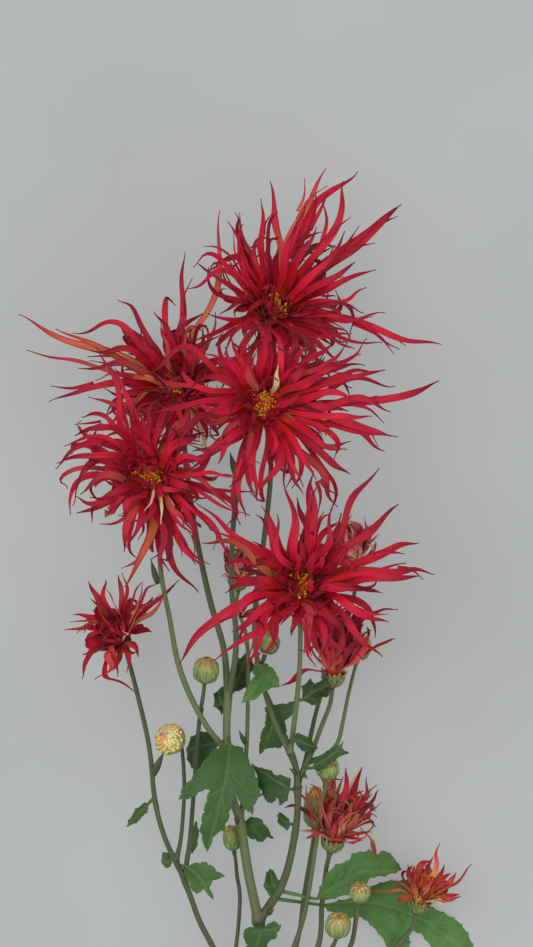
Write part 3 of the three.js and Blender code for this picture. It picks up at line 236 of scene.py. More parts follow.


# The flowers: hearts, where they look, and the listed ray florets by tip, a place on the way and width
BLOOMS = {
    "top": {
        "open": True, "heart": [272, 312], "height": 30, "faces": [0.3, 0.45, 0.84], "size": 1,
        "seeded": 10, "colour": "rays",
        "rays": [
            floret([351, 167], [318, 215], 4.2, lobes=[[316, 188], [328, 192]]),
            floret([326, 168], [295, 220], 3, back=True),
            floret([401, 206], [345, 250], 6, lobes=[[398, 216], [378, 223], [359, 226], [375, 243]]),
            floret([350, 184], [330, 230], 3.2, lobes=[[351, 217], [322, 200]]),
            floret([440, 346], [380, 328], 3.4, lobes=[[406, 346], [394, 354]]),
            floret([268, 184], [283, 235], 3.2), floret([263, 198], [263, 245], 3),
            floret([238, 213], [247, 255], 2.6), floret([376, 271], [330, 285], 3.8, lobes=[[343, 271]]),
            floret([364, 283], [335, 300], 3), floret([384, 317], [340, 314], 3),
            floret([187, 294], [226, 276], 2.6), floret([352, 330], [320, 335], 3),
            floret([347, 232], [325, 268], 2.4), floret([304, 205], [290, 250], 4),
            floret([330, 262], [304, 284], 3.4, lift=-29), floret([246, 262], [258, 284], 3.4, lift=-29),
            floret([300, 360], [290, 338], 3.4, lift=-29),
        ],
    },
    "middle": {
        "open": True, "heart": [262, 405], "height": 60, "faces": [0.2, 0.05, 0.97], "size": 1, "seeded": 9,
        "colour": "rays",
        "rays": [
            floret([440, 381], [385, 401], 3.2), floret([391, 436], [350, 422], 3.2),
            floret([149, 375], [195, 353], 2.8), floret([331, 510], [312, 470], 4),
            floret([334, 515], [331, 468], 2.2), floret([262, 500], [252, 460], 4),
            floret([258, 495], [277, 458], 3.2), floret([295, 495], [292, 458], 3.2),
            floret([348, 477], [320, 452], 3.2), floret([381, 452], [345, 430], 3),
            floret([345, 455], [315, 438], 3), floret([391, 410], [340, 402], 3.4),
            floret([392, 384], [345, 388], 2.4), floret([372, 363], [325, 378], 2.8),
            floret([362, 361], [312, 368], 2.4), floret([262, 325], [262, 362], 3),
            floret([275, 320], [282, 362], 3), floret([218, 462], [234, 438], 3.2),
            floret([205, 410], [230, 402], 3.2), floret([222, 350], [236, 372], 3.4),
        ],
    },
    "upperLeft": {
        "open": True, "heart": [178, 388], "height": 27, "faces": [-0.2, 0.25, 0.94], "size": 1,
        "seeded": 12, "colour": "rays",
        "rays": [
            floret([17, 321], [88, 343], 3.4), floret([57, 326], [108, 354], 3),
            floret([74, 335], [118, 330], 2.6), floret([52, 408], [105, 380], 3.2, lobes=[[50, 386]]),
            floret([181, 252], [181, 318], 3), floret([222, 211], [206, 310], 3, back=True),
            floret([161, 309], [174, 346], 3.2), floret([79, 373], [125, 366], 3),
            floret([133, 333], [152, 360], 3), floret([211, 345], [198, 360], 3),
            floret([92, 358], [130, 352], 3), floret([158, 322], [165, 352], 2.6),
            floret([122, 420], [148, 404], 3.4, lift=-26), floret([140, 330], [158, 356], 3.4, lift=-26),
            floret([205, 440], [194, 414], 3.4, lift=-26),
        ],
    },
    "lowerLeft": {
        "open": True, "heart": [152, 475], "height": 51, "faces": [-0.2, -0.05, 0.97], "size": 1,
        "seeded": 8, "colour": "rays",
        "rays": [
            floret([97, 348], [120, 410], 3), floret([124, 587], [151, 540], 5),
            floret([52, 463], [98, 436], 3.8), floret([191, 594], [169, 545], 3),
            floret([203, 572], [178, 535], 3), floret([115, 363], [134, 412], 2.8),
            floret([72, 433], [108, 424], 3), floret([55, 462], [102, 450], 3),
            floret([69, 488], [104, 464], 3), floret([80, 493], [112, 478], 4.4),
            floret([104, 500], [122, 488], 4), floret([125, 520], [134, 500], 3.8),
            floret([134, 547], [139, 515], 3.8), floret([158, 573], [158, 530], 3),
            floret([143, 532], [148, 508], 3.4), floret([188, 526], [174, 505], 3.2),
            floret([194, 489], [180, 484], 3.2), floret([233, 505], [198, 482], 3),
            floret([229, 563], [204, 517], 2.4), floret([147, 412], [146, 438], 3),
            floret([80, 412], [112, 420], 2.6), floret([213, 455], [185, 462], 3),
        ],
    },
    "front": {
        "open": True, "heart": [303, 588], "height": 69, "faces": [0.04, 0.35, 0.93], "size": 1,
        "seeded": 7, "colour": "rays",
        "rays": [
            floret([175, 661], [224, 608], 4.6), floret([434, 568], [385, 567], 3.4),
            floret([420, 581], [366, 578], 5.4), floret([417, 536], [375, 556], 4, lobes=[[405, 554]]),
            floret([400, 506], [358, 535], 3.8), floret([382, 471], [346, 518], 3),
            floret([308, 470], [305, 522], 4.4), floret([287, 483], [290, 534], 3.4),
            floret([333, 508], [321, 545], 3.2), floret([262, 505], [278, 545], 3),
            floret([201, 499], [245, 540], 3), floret([203, 539], [250, 555], 4.6),
            floret([222, 590], [255, 580], 4), floret([254, 670], [262, 620], 3.4),
            floret([237, 638], [266, 608], 4), floret([224, 628], [258, 598], 4),
            floret([273, 631], [286, 612], 3.4), floret([292, 636], [295, 616], 3.4),
            floret([324, 658], [322, 625], 3), floret([345, 633], [326, 613], 4),
            floret([376, 661], [348, 620], 3.4), floret([386, 627], [346, 603], 3.8, lobes=[[388, 614]]),
            floret([361, 586], [334, 588], 4), floret([295, 500], [298, 548], 3.8),
            floret([275, 515], [286, 556], 3),
        ],
    },
    "leftSmall": {
        "open": True, "heart": [118, 638], "height": 24, "faces": [-0.25, 0.6, 0.75], "size": 0.8,
        "seeded": 2, "colour": "rays",
        "rays": [
            floret([65, 632], [92, 622], 3), floret([87, 582], [100, 604], 3.6),
            floret([106, 577], [108, 602], 3.2), floret([129, 574], [124, 600], 2.4),
            floret([154, 580], [140, 600], 2.6), floret([181, 582], [152, 604], 2.4),
            floret([169, 591], [146, 616], 2.8), floret([73, 614], [94, 616], 2.6),
            floret([82, 641], [98, 632], 2.6), floret([79, 677], [92, 650], 2.6),
            floret([138, 692], [104, 674], 2.2), floret([104, 682], [110, 660], 3.2),
            floret([90, 600], [104, 616], 3),
        ],
    },
    "behindFront": {
        "heart": [334, 670], "height": 27, "faces": [0.1, 0.95, 0.25], "size": 0.8, "seeded": 2,
        "colour": "rays",
        "rays": [
            floret([313, 618], [318, 646], 4), floret([324, 606], [327, 640], 4),
            floret([340, 602], [337, 640], 4), floret([358, 605], [348, 640], 4),
            floret([396, 605], [366, 615], 2.4), floret([366, 627], [354, 646], 3.6),
            floret([316, 636], [320, 656], 4), floret([352, 660], [345, 660], 3.4),
        ],
    },
    "rightSmall": {
        "heart": [334, 836], "height": 22, "faces": [0.2, 0.9, 0.35], "size": 0.8, "seeded": 2,
        "colour": "rays",
        "rays": [
            floret([339, 763], [335, 798], 3.4), floret([348, 768], [343, 798], 3.4),
            floret([361, 768], [350, 800], 3.2), floret([372, 780], [357, 805], 3),
            floret([384, 797], [362, 812], 2.8), floret([382, 804], [358, 822], 2.6),
            floret([372, 833], [354, 832], 3), floret([324, 785], [326, 812], 3.6),
            floret([328, 773], [330, 808], 3.4),
        ],
    },
    "lowRight": {
        "open": True, "heart": [421, 898], "height": 14, "faces": [0.25, 0.9, 0.3], "size": 0.75,
        "seeded": 2, "colour": "orangeRays",
        "rays": [
            floret([406, 864], [413, 882], 2.8), floret([431, 856], [426, 878], 3),
            floret([434, 843], [433, 870], 2.2), floret([474, 866], [449, 884], 2.8),
            floret([448, 902], [438, 896], 2.6), floret([418, 860], [419, 880], 3),
            floret([447, 868], [436, 882], 2.8),
        ],
    },
    "wiltedRight": {
        "heart": [353, 560], "height": 12, "faces": [-0.05, 0.95, 0.25], "size": 0.75, "seeded": 0,
        "reach": 14, "colour": "wiltedRays",
        "rays": [
            floret([338, 524], [344, 540], 2.6), floret([347, 518], [350, 538], 2.4),
            floret([370, 526], [360, 540], 2.4), floret([358, 522], [356, 540], 2.6),
            floret([334, 540], [342, 548], 2.4),
        ],
    },
    "wiltedLeft": {
        "heart": [239, 574], "height": 22, "faces": [0.05, 0.95, 0.2], "size": 0.75, "seeded": 0,
        "reach": 12, "colour": "wiltedRays",
        "rays": [
            floret([228, 552], [231, 562], 2.8), floret([240, 546], [240, 560], 2.8),
            floret([252, 552], [248, 563], 2.8), floret([221, 578], [228, 572], 1.8),
        ],
    },
}


# The buds: middle, height, where they look, width and height of the bud
BUDS = {
    "stripedBud": {"at": [206, 670], "height": 30, "faces": [0.1, 0.9, 0.3], "wide": 10.4, "tall": 11},
    "openingBud": {"at": [170, 739], "height": 33, "faces": [-0.45, 0.35, 0.8], "wide": 12.4, "tall": 9.6},
    "hangingBud": {"at": [269, 643], "height": 20, "faces": [0.3, 0.9, -0.1], "wide": 8.6, "tall": 9.4},
    "paleBud": {"at": [232, 838], "height": 13, "faces": [-0.15, 0.95, 0.1], "wide": 7.4, "tall": 10.6},
    "roundBud": {"at": [328, 768], "height": 34, "faces": [0.1, 0.9, 0.4], "wide": 9, "tall": 9.4},
    "sideBud": {"at": [362, 648], "height": 16, "faces": [0.3, 0.9, 0], "wide": 7.2, "tall": 10},
    "yellowBud": {"at": [360, 892], "height": 30, "faces": [0.1, 0.75, 0.65], "wide": 8.4, "tall": 8.4},
    "lowBud": {"at": [338, 925], "height": 25, "faces": [0.1, 0.75, 0.65], "wide": 10.4, "tall": 10.6},
    "halfOpenBud": {"at": [315, 808], "height": 12, "faces": [0.05, 0.97, 0.15], "wide": 9.4, "tall": 17},
}


# The leaves: foot on the stem, middle rib, both edges, heights of foot and tip, bow and fold
LEAVES = {
    "bigMiddle": {
        "from": [228, 736, 26], "heights": [31, 30], "bow": 6, "fold": 0.12,
        "rib": [[230, 744], [226, 775], [217, 815], [207, 853]],
        "left": [
            [214, 749], [203, 762], [190, 780], [182, 788], [179, 800], [192, 798], [202, 791], [209, 789],
            [206, 802], [202, 817], [200, 832],
        ],
        "right": [
            [243, 748], [250, 762], [257, 777], [259, 788], [262, 795], [256, 801], [252, 815], [243, 806],
            [236, 796], [232, 803], [229, 817], [224, 830], [216, 834],
        ],
    },
    "darkShoulder": {
        "from": [228, 738, 25], "heights": [22, 14], "bow": 2, "fold": 0.2,
        "rib": [[222, 742], [205, 745], [186, 750]],
        "left": [[214, 751], [206, 763], [195, 771], [188, 762]],
        "right": [[214, 733], [201, 731], [191, 737]],
    },
    "lightFolded": {
        "from": [260, 670, 24], "heights": [30, 37], "bow": 4, "fold": 0.3,
        "rib": [[258, 664], [261, 677], [251, 692], [241, 703]],
        "left": [[252, 668], [254, 676], [247, 688]],
        "right": [[268, 664], [277, 674], [280, 686], [267, 690], [254, 700]],
    },
    "darkUnder": {
        "from": [229, 704, 27], "heights": [24, 18], "bow": 3, "fold": 0.2,
        "rib": [[228, 709], [221, 703], [219, 692], [222, 686]],
        "left": [[222, 714], [214, 706], [214, 694]], "right": [[231, 703], [231, 692]],
    },
    "broadUpright": {
        "from": [267, 695, 26.5], "heights": [23, 17], "bow": 2, "fold": 0.15,
        "rib": [[272, 705], [273, 720], [268, 738], [259, 755]],
        "left": [[265, 707], [266, 719], [260, 738]],
        "right": [[281, 704], [297, 701], [294, 712], [285, 722], [288, 738], [280, 748], [268, 748]],
    },
    "darkBehind": {
        "from": [229, 695, 27.5], "heights": [16, 12], "bow": 2, "fold": 0.15,
        "rib": [[233, 692], [239, 676], [247, 652]],
        "left": [[232, 684], [227, 676], [234, 668], [233, 656], [240, 658]],
        "right": [[242, 690], [251, 684], [249, 674], [256, 668], [252, 660]],
    },
    "rightDark": {
        "from": [297, 700, 41], "heights": [37, 30], "bow": 3, "fold": 0.25,
        "rib": [[302, 700], [314, 692], [331, 684]],
        "left": [[302, 687], [310, 679], [316, 684], [325, 677]],
        "right": [[309, 704], [318, 706], [321, 698], [329, 696]],
    },
    "smallAtFork": {
        "from": [291, 742, 36], "heights": [38, 34], "bow": 2, "fold": 0.3,
        "rib": [[294, 739], [304, 743], [318, 748]], "left": [[296, 733], [305, 735], [313, 741]],
        "right": [[297, 747], [305, 752], [313, 754]],
    },
    "lobedMiddle": {
        "from": [297, 790, 28], "heights": [25, 19], "bow": 3, "fold": 0.15,
        "rib": [[290, 789], [279, 783], [266, 774], [251, 763]],
        "left": [
            [288, 799], [281, 806], [277, 798], [272, 804], [264, 799], [262, 791], [256, 787], [258, 778],
        ],
        "right": [[291, 780], [283, 775], [276, 775], [268, 769], [260, 768]],
    },
    "twoPointed": {
        "from": [304, 768, 27], "heights": [34, 40], "bow": 2, "fold": 0.2,
        "rib": [[312, 768], [322, 761], [334, 753], [344, 741]],
        "left": [[315, 761], [323, 755], [331, 748], [338, 746]],
        "right": [[319, 772], [328, 766], [337, 759], [349, 752], [342, 749]],
    },
    "lowForked": {
        "from": [240, 820, 20], "heights": [14, 8], "bow": 3, "fold": 0.15,
        "rib": [[245, 822], [254, 828], [263, 842]], "left": [[244, 831], [250, 838], [257, 841]],
        "right": [[252, 816], [262, 820], [268, 829], [274, 838], [266, 838]],
    },
    "leftForked": {
        "from": [181, 866, 17], "heights": [22, 24], "bow": 3, "fold": 0.15,
        "rib": [[186, 866], [197, 875], [206, 888], [214, 901]],
        "left": [[184, 872], [189, 884], [195, 894], [204, 890]],
        "right": [[196, 863], [206, 862], [214, 868], [225, 877], [214, 880], [210, 886]],
    },
    "leftCluster": {
        "from": [175, 858, 18], "heights": [14, 8], "bow": 1, "fold": 0.2,
        "rib": [[172, 858], [168, 862], [161, 862]], "left": [[172, 864], [166, 869]],
        "right": [[168, 852], [162, 853]],
    },
    "uprightBlade": {
        "from": [188, 852, 16], "heights": [10, 8], "bow": 1, "fold": 0.3,
        "rib": [[192, 852], [194, 838], [197, 820]], "left": [[188, 844], [190, 832]],
        "right": [[196, 849], [199, 836]],
    },
    "farLeft": {
        "from": [154, 798, 21], "heights": [17, 12], "bow": 2, "fold": 0.25,
        "rib": [[149, 803], [139, 813], [126, 827]], "left": [[148, 810], [140, 820], [132, 825]],
        "right": [[143, 803], [135, 810], [129, 820]],
    },
    "belowMiddle": {
        "from": [259, 924, 13], "heights": [12, 6], "bow": 2, "fold": 0.15,
        "rib": [[261, 930], [258, 942], [250, 962]],
        "left": [[252, 926], [243, 931], [246, 945], [243, 955]],
        "right": [[272, 921], [281, 925], [276, 938], [267, 943], [262, 958]],
    },
    "narrowLow": {
        "from": [281, 888, 18], "heights": [12, 6], "bow": 2, "fold": 0.2,
        "rib": [[277, 893], [272, 883], [270, 868]], "left": [[270, 896], [264, 888], [265, 876]],
        "right": [[279, 884], [276, 874]],
    },
    "smallRight": {
        "from": [296, 826, 24], "heights": [20, 15], "bow": 1, "fold": 0.2,
        "rib": [[291, 824], [284, 822], [277, 815]], "left": [[288, 830], [279, 825]],
        "right": [[288, 818], [281, 812]],
    },
    "hugeUpper": {
        "from": [280, 891, 17], "heights": [13, 10], "bow": 6, "fold": 0.1,
        "rib": [[316, 899], [334, 886], [362, 873], [402, 870]],
        "left": [
            [320, 887], [327, 873], [337, 864], [348, 861], [353, 853], [362, 852], [371, 850], [375, 856],
            [384, 850], [393, 856],
        ],
        "right": [[328, 900], [346, 895], [362, 889], [371, 878], [386, 876]],
    },
    "hugeLower": {
        "from": [276, 899, 16], "heights": [13, 4], "bow": 8, "fold": 0.08,
        "rib": [[322, 905], [360, 902], [405, 912], [445, 935], [478, 968]],
        "left": [
            [346, 899], [366, 893], [372, 886], [387, 881], [403, 880], [414, 878], [424, 886], [434, 899],
            [430, 906], [444, 913], [458, 921], [467, 932], [474, 948],
        ],
        "right": [
            [330, 912], [346, 919], [360, 917], [368, 922], [380, 935], [392, 953], [404, 962], [410, 948],
            [409, 930], [421, 934], [432, 948], [440, 963], [456, 967],
        ],
    },
}

# Finer florets that the solid model leaves out: tip, a place on the way and width,
# for some how far the tip is above the heart, and their kind
FINE_RAYS = {
    "top": [
        floret([240, 212], [241, 236], 2.2, kind="dark"), floret([282, 239], [270, 246], 1.6, kind="dark"),
        floret([272, 270], [262, 278], 1.8, kind="dark"), floret([280, 211], [268, 228], 1.6, kind="dark"),
        floret([235, 315], [248, 308], 2.4, kind="dark"), floret([224, 318], [240, 300], 2.2, kind="dark"),
        floret([262, 318], [256, 300], 2.2, kind="dark"), floret([396, 354], [352, 322], 2.2),
        floret([346, 330], [312, 322], 3.4, kind="dark"), floret([365, 306], [322, 302], 2.4, kind="dark"),
        floret([288, 372], [282, 344], 3.4), floret([305, 366], [296, 342], 3.2),
        floret([312, 352], [300, 334], 3.4, kind="dark"), floret([332, 346], [308, 330], 3.4, kind="dark"),
        floret([274, 356], [274, 336], 3.4, kind="dark"), floret([322, 372], [306, 344], 3.2),
        floret([338, 364], [312, 338], 3.2), floret([354, 352], [322, 332], 3.0),
        floret([256, 356], [262, 336], 3.4), floret([238, 340], [252, 326], 2.4),
        floret([371, 326], [330, 318], 2), floret([340, 250], [312, 276], 3.4),
        floret([318, 228], [300, 262], 3.8), floret([356, 262], [322, 284], 3.6),
        floret([296, 222], [288, 258], 3.4), floret([362, 244], [326, 270], 3.2),
        floret([252, 240], [258, 268], 2.6), floret([226, 262], [246, 280], 2.2),
    ],
    "middle": [
        floret([274, 366], [277, 384], 2.4, lift=16, kind="dry"), floret([270, 462], [276, 440], 1.8),
        floret([310, 362], [290, 378], 4.2, lift=14), floret([322, 372], [300, 384], 3.6, lift=12),
        floret([248, 350], [252, 374], 3.4, lift=16), floret([262, 338], [261, 370], 3.4, lift=15),
        floret([371, 345], [336, 366], 2), floret([388, 369], [350, 378], 2),
        floret([318, 338], [296, 362], 2.6), floret([336, 344], [306, 364], 2.6),
        floret([352, 350], [318, 368], 2.6), floret([366, 372], [326, 382], 2.8),
        floret([345, 362], [310, 376], 3), floret([302, 330], [290, 356], 2.6),
        floret([240, 330], [248, 360], 2.8), floret([228, 336], [242, 366], 2.4),
        floret([360, 395], [322, 396], 3.2), floret([372, 422], [330, 416], 2.8),
        floret([398, 434], [350, 430], 1.8), floret([320, 480], [300, 450], 2.6),
        floret([306, 486], [288, 452], 2.4), floret([242, 470], [250, 440], 2.4),
    ],
    "upperLeft": [
        floret([211, 358], [202, 330], 1.8, kind="dark"), floret([187, 440], [192, 424], 2.4, kind="dry"),
        floret([210, 455], [200, 432], 2.2, kind="dry"), floret([96, 372], [130, 376], 2.2),
        floret([26, 356], [90, 366], 1.8),
    ],
    "lowerLeft": [
        floret([150, 510], [152, 496], 1.8, kind="dry"), floret([165, 520], [160, 500], 1.6, kind="dry"),
        floret([110, 512], [124, 494], 2), floret([144, 541], [144, 514], 2),
        floret([191, 539], [174, 512], 2), floret([240, 482], [200, 474], 2),
        floret([247, 520], [205, 494], 2), floret([214, 530], [186, 502], 1.8),
        floret([256, 494], [206, 488], 2), floret([63, 446], [104, 436], 2),
    ],
    "front": [
        floret([209, 529], [250, 548], 1.8), floret([318, 480], [312, 534], 3.4),
        floret([268, 510], [282, 548], 2.4), floret([333, 515], [320, 522], 1.2),
        floret([300, 628], [302, 604], 3.8, lift=14, kind="pink"),
        floret([284, 626], [292, 604], 3.2, lift=12, kind="pink"),
        floret([318, 632], [312, 606], 3.2, lift=12, kind="pink"), floret([406, 564], [366, 570], 2.2),
        floret([292, 548], [298, 562], 3.2, lift=26), floret([318, 546], [312, 564], 3.2, lift=26),
    ],
    "leftSmall": [
        floret([122, 576], [120, 598], 2.4), floret([141, 582], [131, 602], 2),
        floret([148, 588], [136, 606], 2), floret([108, 591], [116, 604], 1.6),
        floret([161, 594], [142, 610], 2.2), floret([133, 670], [126, 656], 2.2),
        floret([138, 654], [132, 644], 2), floret([130, 632], [126, 636], 1.6, kind="dry"),
    ],
    "behindFront": [
        floret([306, 640], [316, 656], 3.4), floret([330, 622], [332, 648], 4),
        floret([350, 618], [344, 648], 4), floret([362, 640], [352, 658], 3.4),
    ],
    "rightSmall": [
        floret([359, 768], [347, 800], 2.8, kind="dry"), floret([370, 818], [354, 826], 2.6, kind="dry"),
        floret([332, 780], [332, 810], 3.4), floret([320, 798], [326, 818], 3),
        floret([366, 792], [352, 812], 3),
    ],
    "lowRight": [
        floret([444, 905], [434, 901], 2.2, kind="dry"), floret([425, 872], [422, 886], 2.8),
        floret([438, 876], [431, 888], 2.8), floret([452, 884], [438, 892], 2.4),
    ],
    "wiltedRight": [],
    "wiltedLeft": [],
}

# The florets that fill each head, layer by layer: how many, the tilts from the axis that they leave at,
# their length against the reach, how far they bend outwards, and their width in mm
FILLING = {
    "top": [
        [36, [0.9, 1.7], [0.5, 0.95], [-0.2, 0.9], [1.9, 3.4]],
        [30, [0.5, 1.1], [0.4, 0.85], [-0.3, 0.7], [2.2, 4.2]],
        [28, [0.25, 0.8], [0.22, 0.45], [-0.6, 0.6], [2.2, 4.0]],
        [18, [0.5, 1.0], [0.2, 0.34], [-2.2, -0.9], [1.8, 3.2]],
    ],
    "middle": [
        [40, [0.9, 1.7], [0.5, 0.95], [-0.2, 0.9], [1.9, 3.4]],
        [32, [0.5, 1.1], [0.4, 0.8], [-0.3, 0.8], [2.2, 4.2]],
        [28, [0.25, 0.8], [0.2, 0.42], [-0.6, 0.6], [2.2, 4.0]],
        [18, [0.5, 1.0], [0.2, 0.34], [-2.2, -0.9], [1.8, 3.2]],
    ],
    "upperLeft": [
        [38, [0.9, 1.7], [0.4, 0.9], [-0.2, 0.9], [1.8, 3.2]],
        [30, [0.5, 1.1], [0.35, 0.75], [-0.3, 0.8], [2.0, 4.0]],
        [28, [0.25, 0.8], [0.2, 0.42], [-0.6, 0.6], [2.0, 3.8]],
        [26, [0.4, 1.0], [0.2, 0.36], [-2.2, -0.8], [1.8, 3.4]],
    ],
    "lowerLeft": [
        [40, [0.9, 1.7], [0.4, 0.9], [-0.1, 1.2], [1.9, 3.4]],
        [32, [0.5, 1.1], [0.35, 0.7], [-0.3, 1.0], [2.2, 4.0]],
        [28, [0.25, 0.8], [0.2, 0.42], [-0.6, 0.6], [2.0, 3.8]],
        [26, [0.4, 1.0], [0.2, 0.36], [-2.2, -0.8], [1.8, 3.4]],
    ],
    "front": [
        [28, [1.0, 1.7], [0.4, 0.75], [-0.1, 0.9], [2.2, 4.0]],
        [28, [0.5, 1.1], [0.35, 0.68], [-0.3, 0.6], [2.6, 4.8]],
        [26, [0.25, 0.75], [0.2, 0.4], [-0.5, 0.5], [2.6, 4.4]],
        [18, [0.4, 1.0], [0.18, 0.32], [-2.0, -0.8], [2.2, 3.6]],
    ],
    "leftSmall": [
        [16, [0.9, 1.5], [0.25, 0.45], [-1.2, 0.8], [2.6, 4.4]],
        [24, [0.4, 1.0], [0.26, 0.44], [-1.6, 0.2], [2.8, 4.8]],
        [26, [0.1, 0.6], [0.24, 0.38], [-2.0, -0.4], [2.8, 4.8]],
        [32, [0.4, 1.1], [0.28, 0.44], [-3.2, -1.6], [2.6, 4.8]],
    ],
    "behindFront": [
        [22, [0.35, 0.95], [0.4, 0.75], [-0.6, 0.2], [3.0, 5.4]],
        [28, [0.05, 0.5], [0.5, 0.82], [-0.4, 0.3], [3.0, 5.6]],
    ],
    "rightSmall": [
        [30, [0.4, 1.15], [0.3, 0.58], [-0.6, 0.5], [2.2, 4.0]],
        [36, [0.05, 0.6], [0.4, 0.68], [-0.6, 0.4], [2.4, 4.2]],
        [14, [0.3, 0.9], [0.3, 0.5], [-2.0, -0.8], [2.2, 3.6]],
    ],
    "lowRight": [
        [10, [0.6, 1.3], [0.3, 0.46], [-0.4, 0.6], [3.0, 5.0]],
        [16, [0.1, 0.7], [0.3, 0.44], [-0.5, 0.5], [3.2, 5.2]],
        [10, [0.5, 1.0], [0.22, 0.34], [-2.0, -0.9], [2.6, 4.2]],
    ],
    "wiltedRight": [
        [30, [0.5, 1.4], [1.0, 1.7], [-2.6, -0.6], [2.4, 4.4]],
        [34, [0.0, 0.7], [1.1, 1.9], [-2.4, -0.2], [2.4, 4.6]],
    ],
    "wiltedLeft": [
        [28, [0.6, 1.5], [0.9, 1.5], [-3.2, -0.8], [2.4, 4.4]],
        [32, [0.0, 0.8], [0.9, 1.6], [-3.2, -0.6], [2.4, 4.6]],
    ],
}


def seen(place, height):
    scale = MM_PER_UNIT * (1 - height / EYE_HEIGHT)
    return np.array([(place[0] - VIEW_MIDDLE[0]) * scale, (VIEW_MIDDLE[1] - place[1]) * scale, float(height)])


def unit(vector):
    return vector / max(np.linalg.norm(vector), 1e-12)


def hypot3(vector):
    return float(np.linalg.norm(vector))


# Numbers between 0 and 1, the same for the same seed
def seeded_numbers(seed):
    state = int(seed) & 0xFFFFFFFF

    def times(a, b):
        return (a * b) & 0xFFFFFFFF

    def number():
        nonlocal state
        state = (state + 0x6D2B79F5) & 0xFFFFFFFF
        mixed = times(state ^ (state >> 15), state | 1)
        mixed ^= (mixed + times(mixed ^ (mixed >> 7), mixed | 61)) & 0xFFFFFFFF
        return ((mixed ^ (mixed >> 14)) & 0xFFFFFFFF) / 4294967296

    return number


# A smooth way through places
class Way:
    def __init__(self, points):
        inner = np.array(points, float)
        before = 2 * inner[0] - inner[1]
        after = 2 * inner[-1] - inner[-2]
        self.points = np.vstack([before, inner, after])
        self.spans = len(inner) - 1
        self.measured = None

    def at(self, t):
        t = np.clip(np.asarray(t, float), 0, 1)
        share = t * self.spans
        span = np.minimum(np.floor(share).astype(int), self.spans - 1)
        w = (share - span)[..., None]
        p0, p1, p2, p3 = (self.points[span + k] for k in range(4))
        start, end = 0.5 * (p2 - p0), 0.5 * (p3 - p1)
        square = 3 * (p2 - p1) - 2 * start - end
        cube = 2 * (p1 - p2) + start + end
        return p1 + start * w + square * w**2 + cube * w**3

    def travel(self, t):
        t = np.asarray(t, float)
        step = self.at(np.minimum(t + 0.0001, 1)) - self.at(np.maximum(t - 0.0001, 0))
        return step / np.linalg.norm(step, axis=-1, keepdims=True)

    def length(self):
        if self.measured is None:
            places = self.at(np.linspace(0, 1, 201))
            self.measured = float(np.linalg.norm(np.diff(places, axis=0), axis=1).sum())
        return self.measured

    def spaced(self, spacing):
        count = max(2, math.ceil(self.length() / spacing))
        return self.at(np.arange(count + 1) / count)


# The directions across a flower: side and front are square to where it looks
class Frame:
    def __init__(self, faces):
        self.axis = unit(np.array(faces, float))
        self.side = unit(np.cross([0.0, 1.0, 0.0], self.axis))
        self.front = np.cross(self.axis, self.side)

    def place(self, origin, radius, turn, along):
        sideways = radius * math.cos(turn) * self.side
        forward = radius * math.sin(turn) * self.front
        return origin + sideways + forward + along * self.axis


# What already fills the air, as small balls
class Air:
    def __init__(self):
        self.balls = np.zeros((0, 3))
        self.radii = np.zeros(0)
        self.owners = np.zeros(0, int)
        self.names = {}

    def fill(self, points, radius, owner):
        number = self.names.setdefault(owner, len(self.names))
        points = np.atleast_2d(points)
        self.balls = np.vstack([self.balls, points])
        self.radii = np.append(self.radii, np.full(len(points), float(radius)))
        self.owners = np.append(self.owners, np.full(len(points), number))

    def is_free(self, points, radius, owner):
        if len(points) == 0 or len(self.balls) == 0:
            return True
        low, high = points.min(axis=0) - 2 * CELL, points.max(axis=0) + 2 * CELL
        near = np.all((self.balls > low) & (self.balls < high), axis=1)
        if owner is not None:
            near &= self.owners != self.names.get(owner, -1)
        balls, radii = self.balls[near], self.radii[near]
        if len(balls) == 0:
            return True
        apart = np.linalg.norm(points[:, None] - balls[None], axis=2)
        steps = np.abs(np.floor(points / CELL)[:, None] - np.floor(balls / CELL)[None]).max(axis=2)
        return not np.any((steps <= 1) & (apart <= radii[None] + radius + CLEAR_OF))


air = Air()


class Head:
    def __init__(self, name):
        bloom = BLOOMS[name]
        self.name = name
        self.bloom = bloom
        self.origin = seen(bloom["heart"], bloom["height"])
        self.frame = Frame(bloom["faces"])
        self.size = bloom["size"]
        self.reach = bloom.get("reach", BLOOM_REACH) * self.size
        self.rays = []

    def place(self, radius, turn, along):
        return self.frame.place(self.origin, radius * self.size, turn, along * self.size)


def branch_end(name):
    if name in BLOOMS:
        head = Head(name)
        foot = (-CUP_FOOT + GAP) * head.size
        return [head.origin - head.frame.axis * down for down in (foot + 7, foot)]
    bud = BUDS[name]
    axis = Frame(bud["faces"]).axis
    middle = seen(bud["at"], bud["height"])
    return [middle - axis * (bud["tall"] / 2 + down) for down in (5, GAP)]


def branch_way(branch):
    points = [seen(place, place[2]) for place in branch["way"]]
    return Way(points + branch_end(branch["to"])) if "to" in branch else Way(points)


def above_table(point, wide):
    point[2] = max(point[2], wide * 0.45)
    return point


# The way of a ray floret from the head through one place to its tip
def ray_way(head, by, tip, wide):
    axis = head.frame.axis
    out = by - head.origin
    rise = float(out @ axis)
    radial = out - rise * axis
    lean = min(1, max(0, math.atan2(hypot3(radial), rise) / (math.pi / 2)))
    radial = unit(radial)
    ring = (3.9 + 0.6 * lean) * head.size
    ring_height = (2.2 - 2.7 * lean) * head.size
    root = head.origin + ring * radial + ring_height * axis
    way = Way([root, above_table(by, wide), above_table(tip, wide)])
    return way, axis - FACE_LEAN * radial


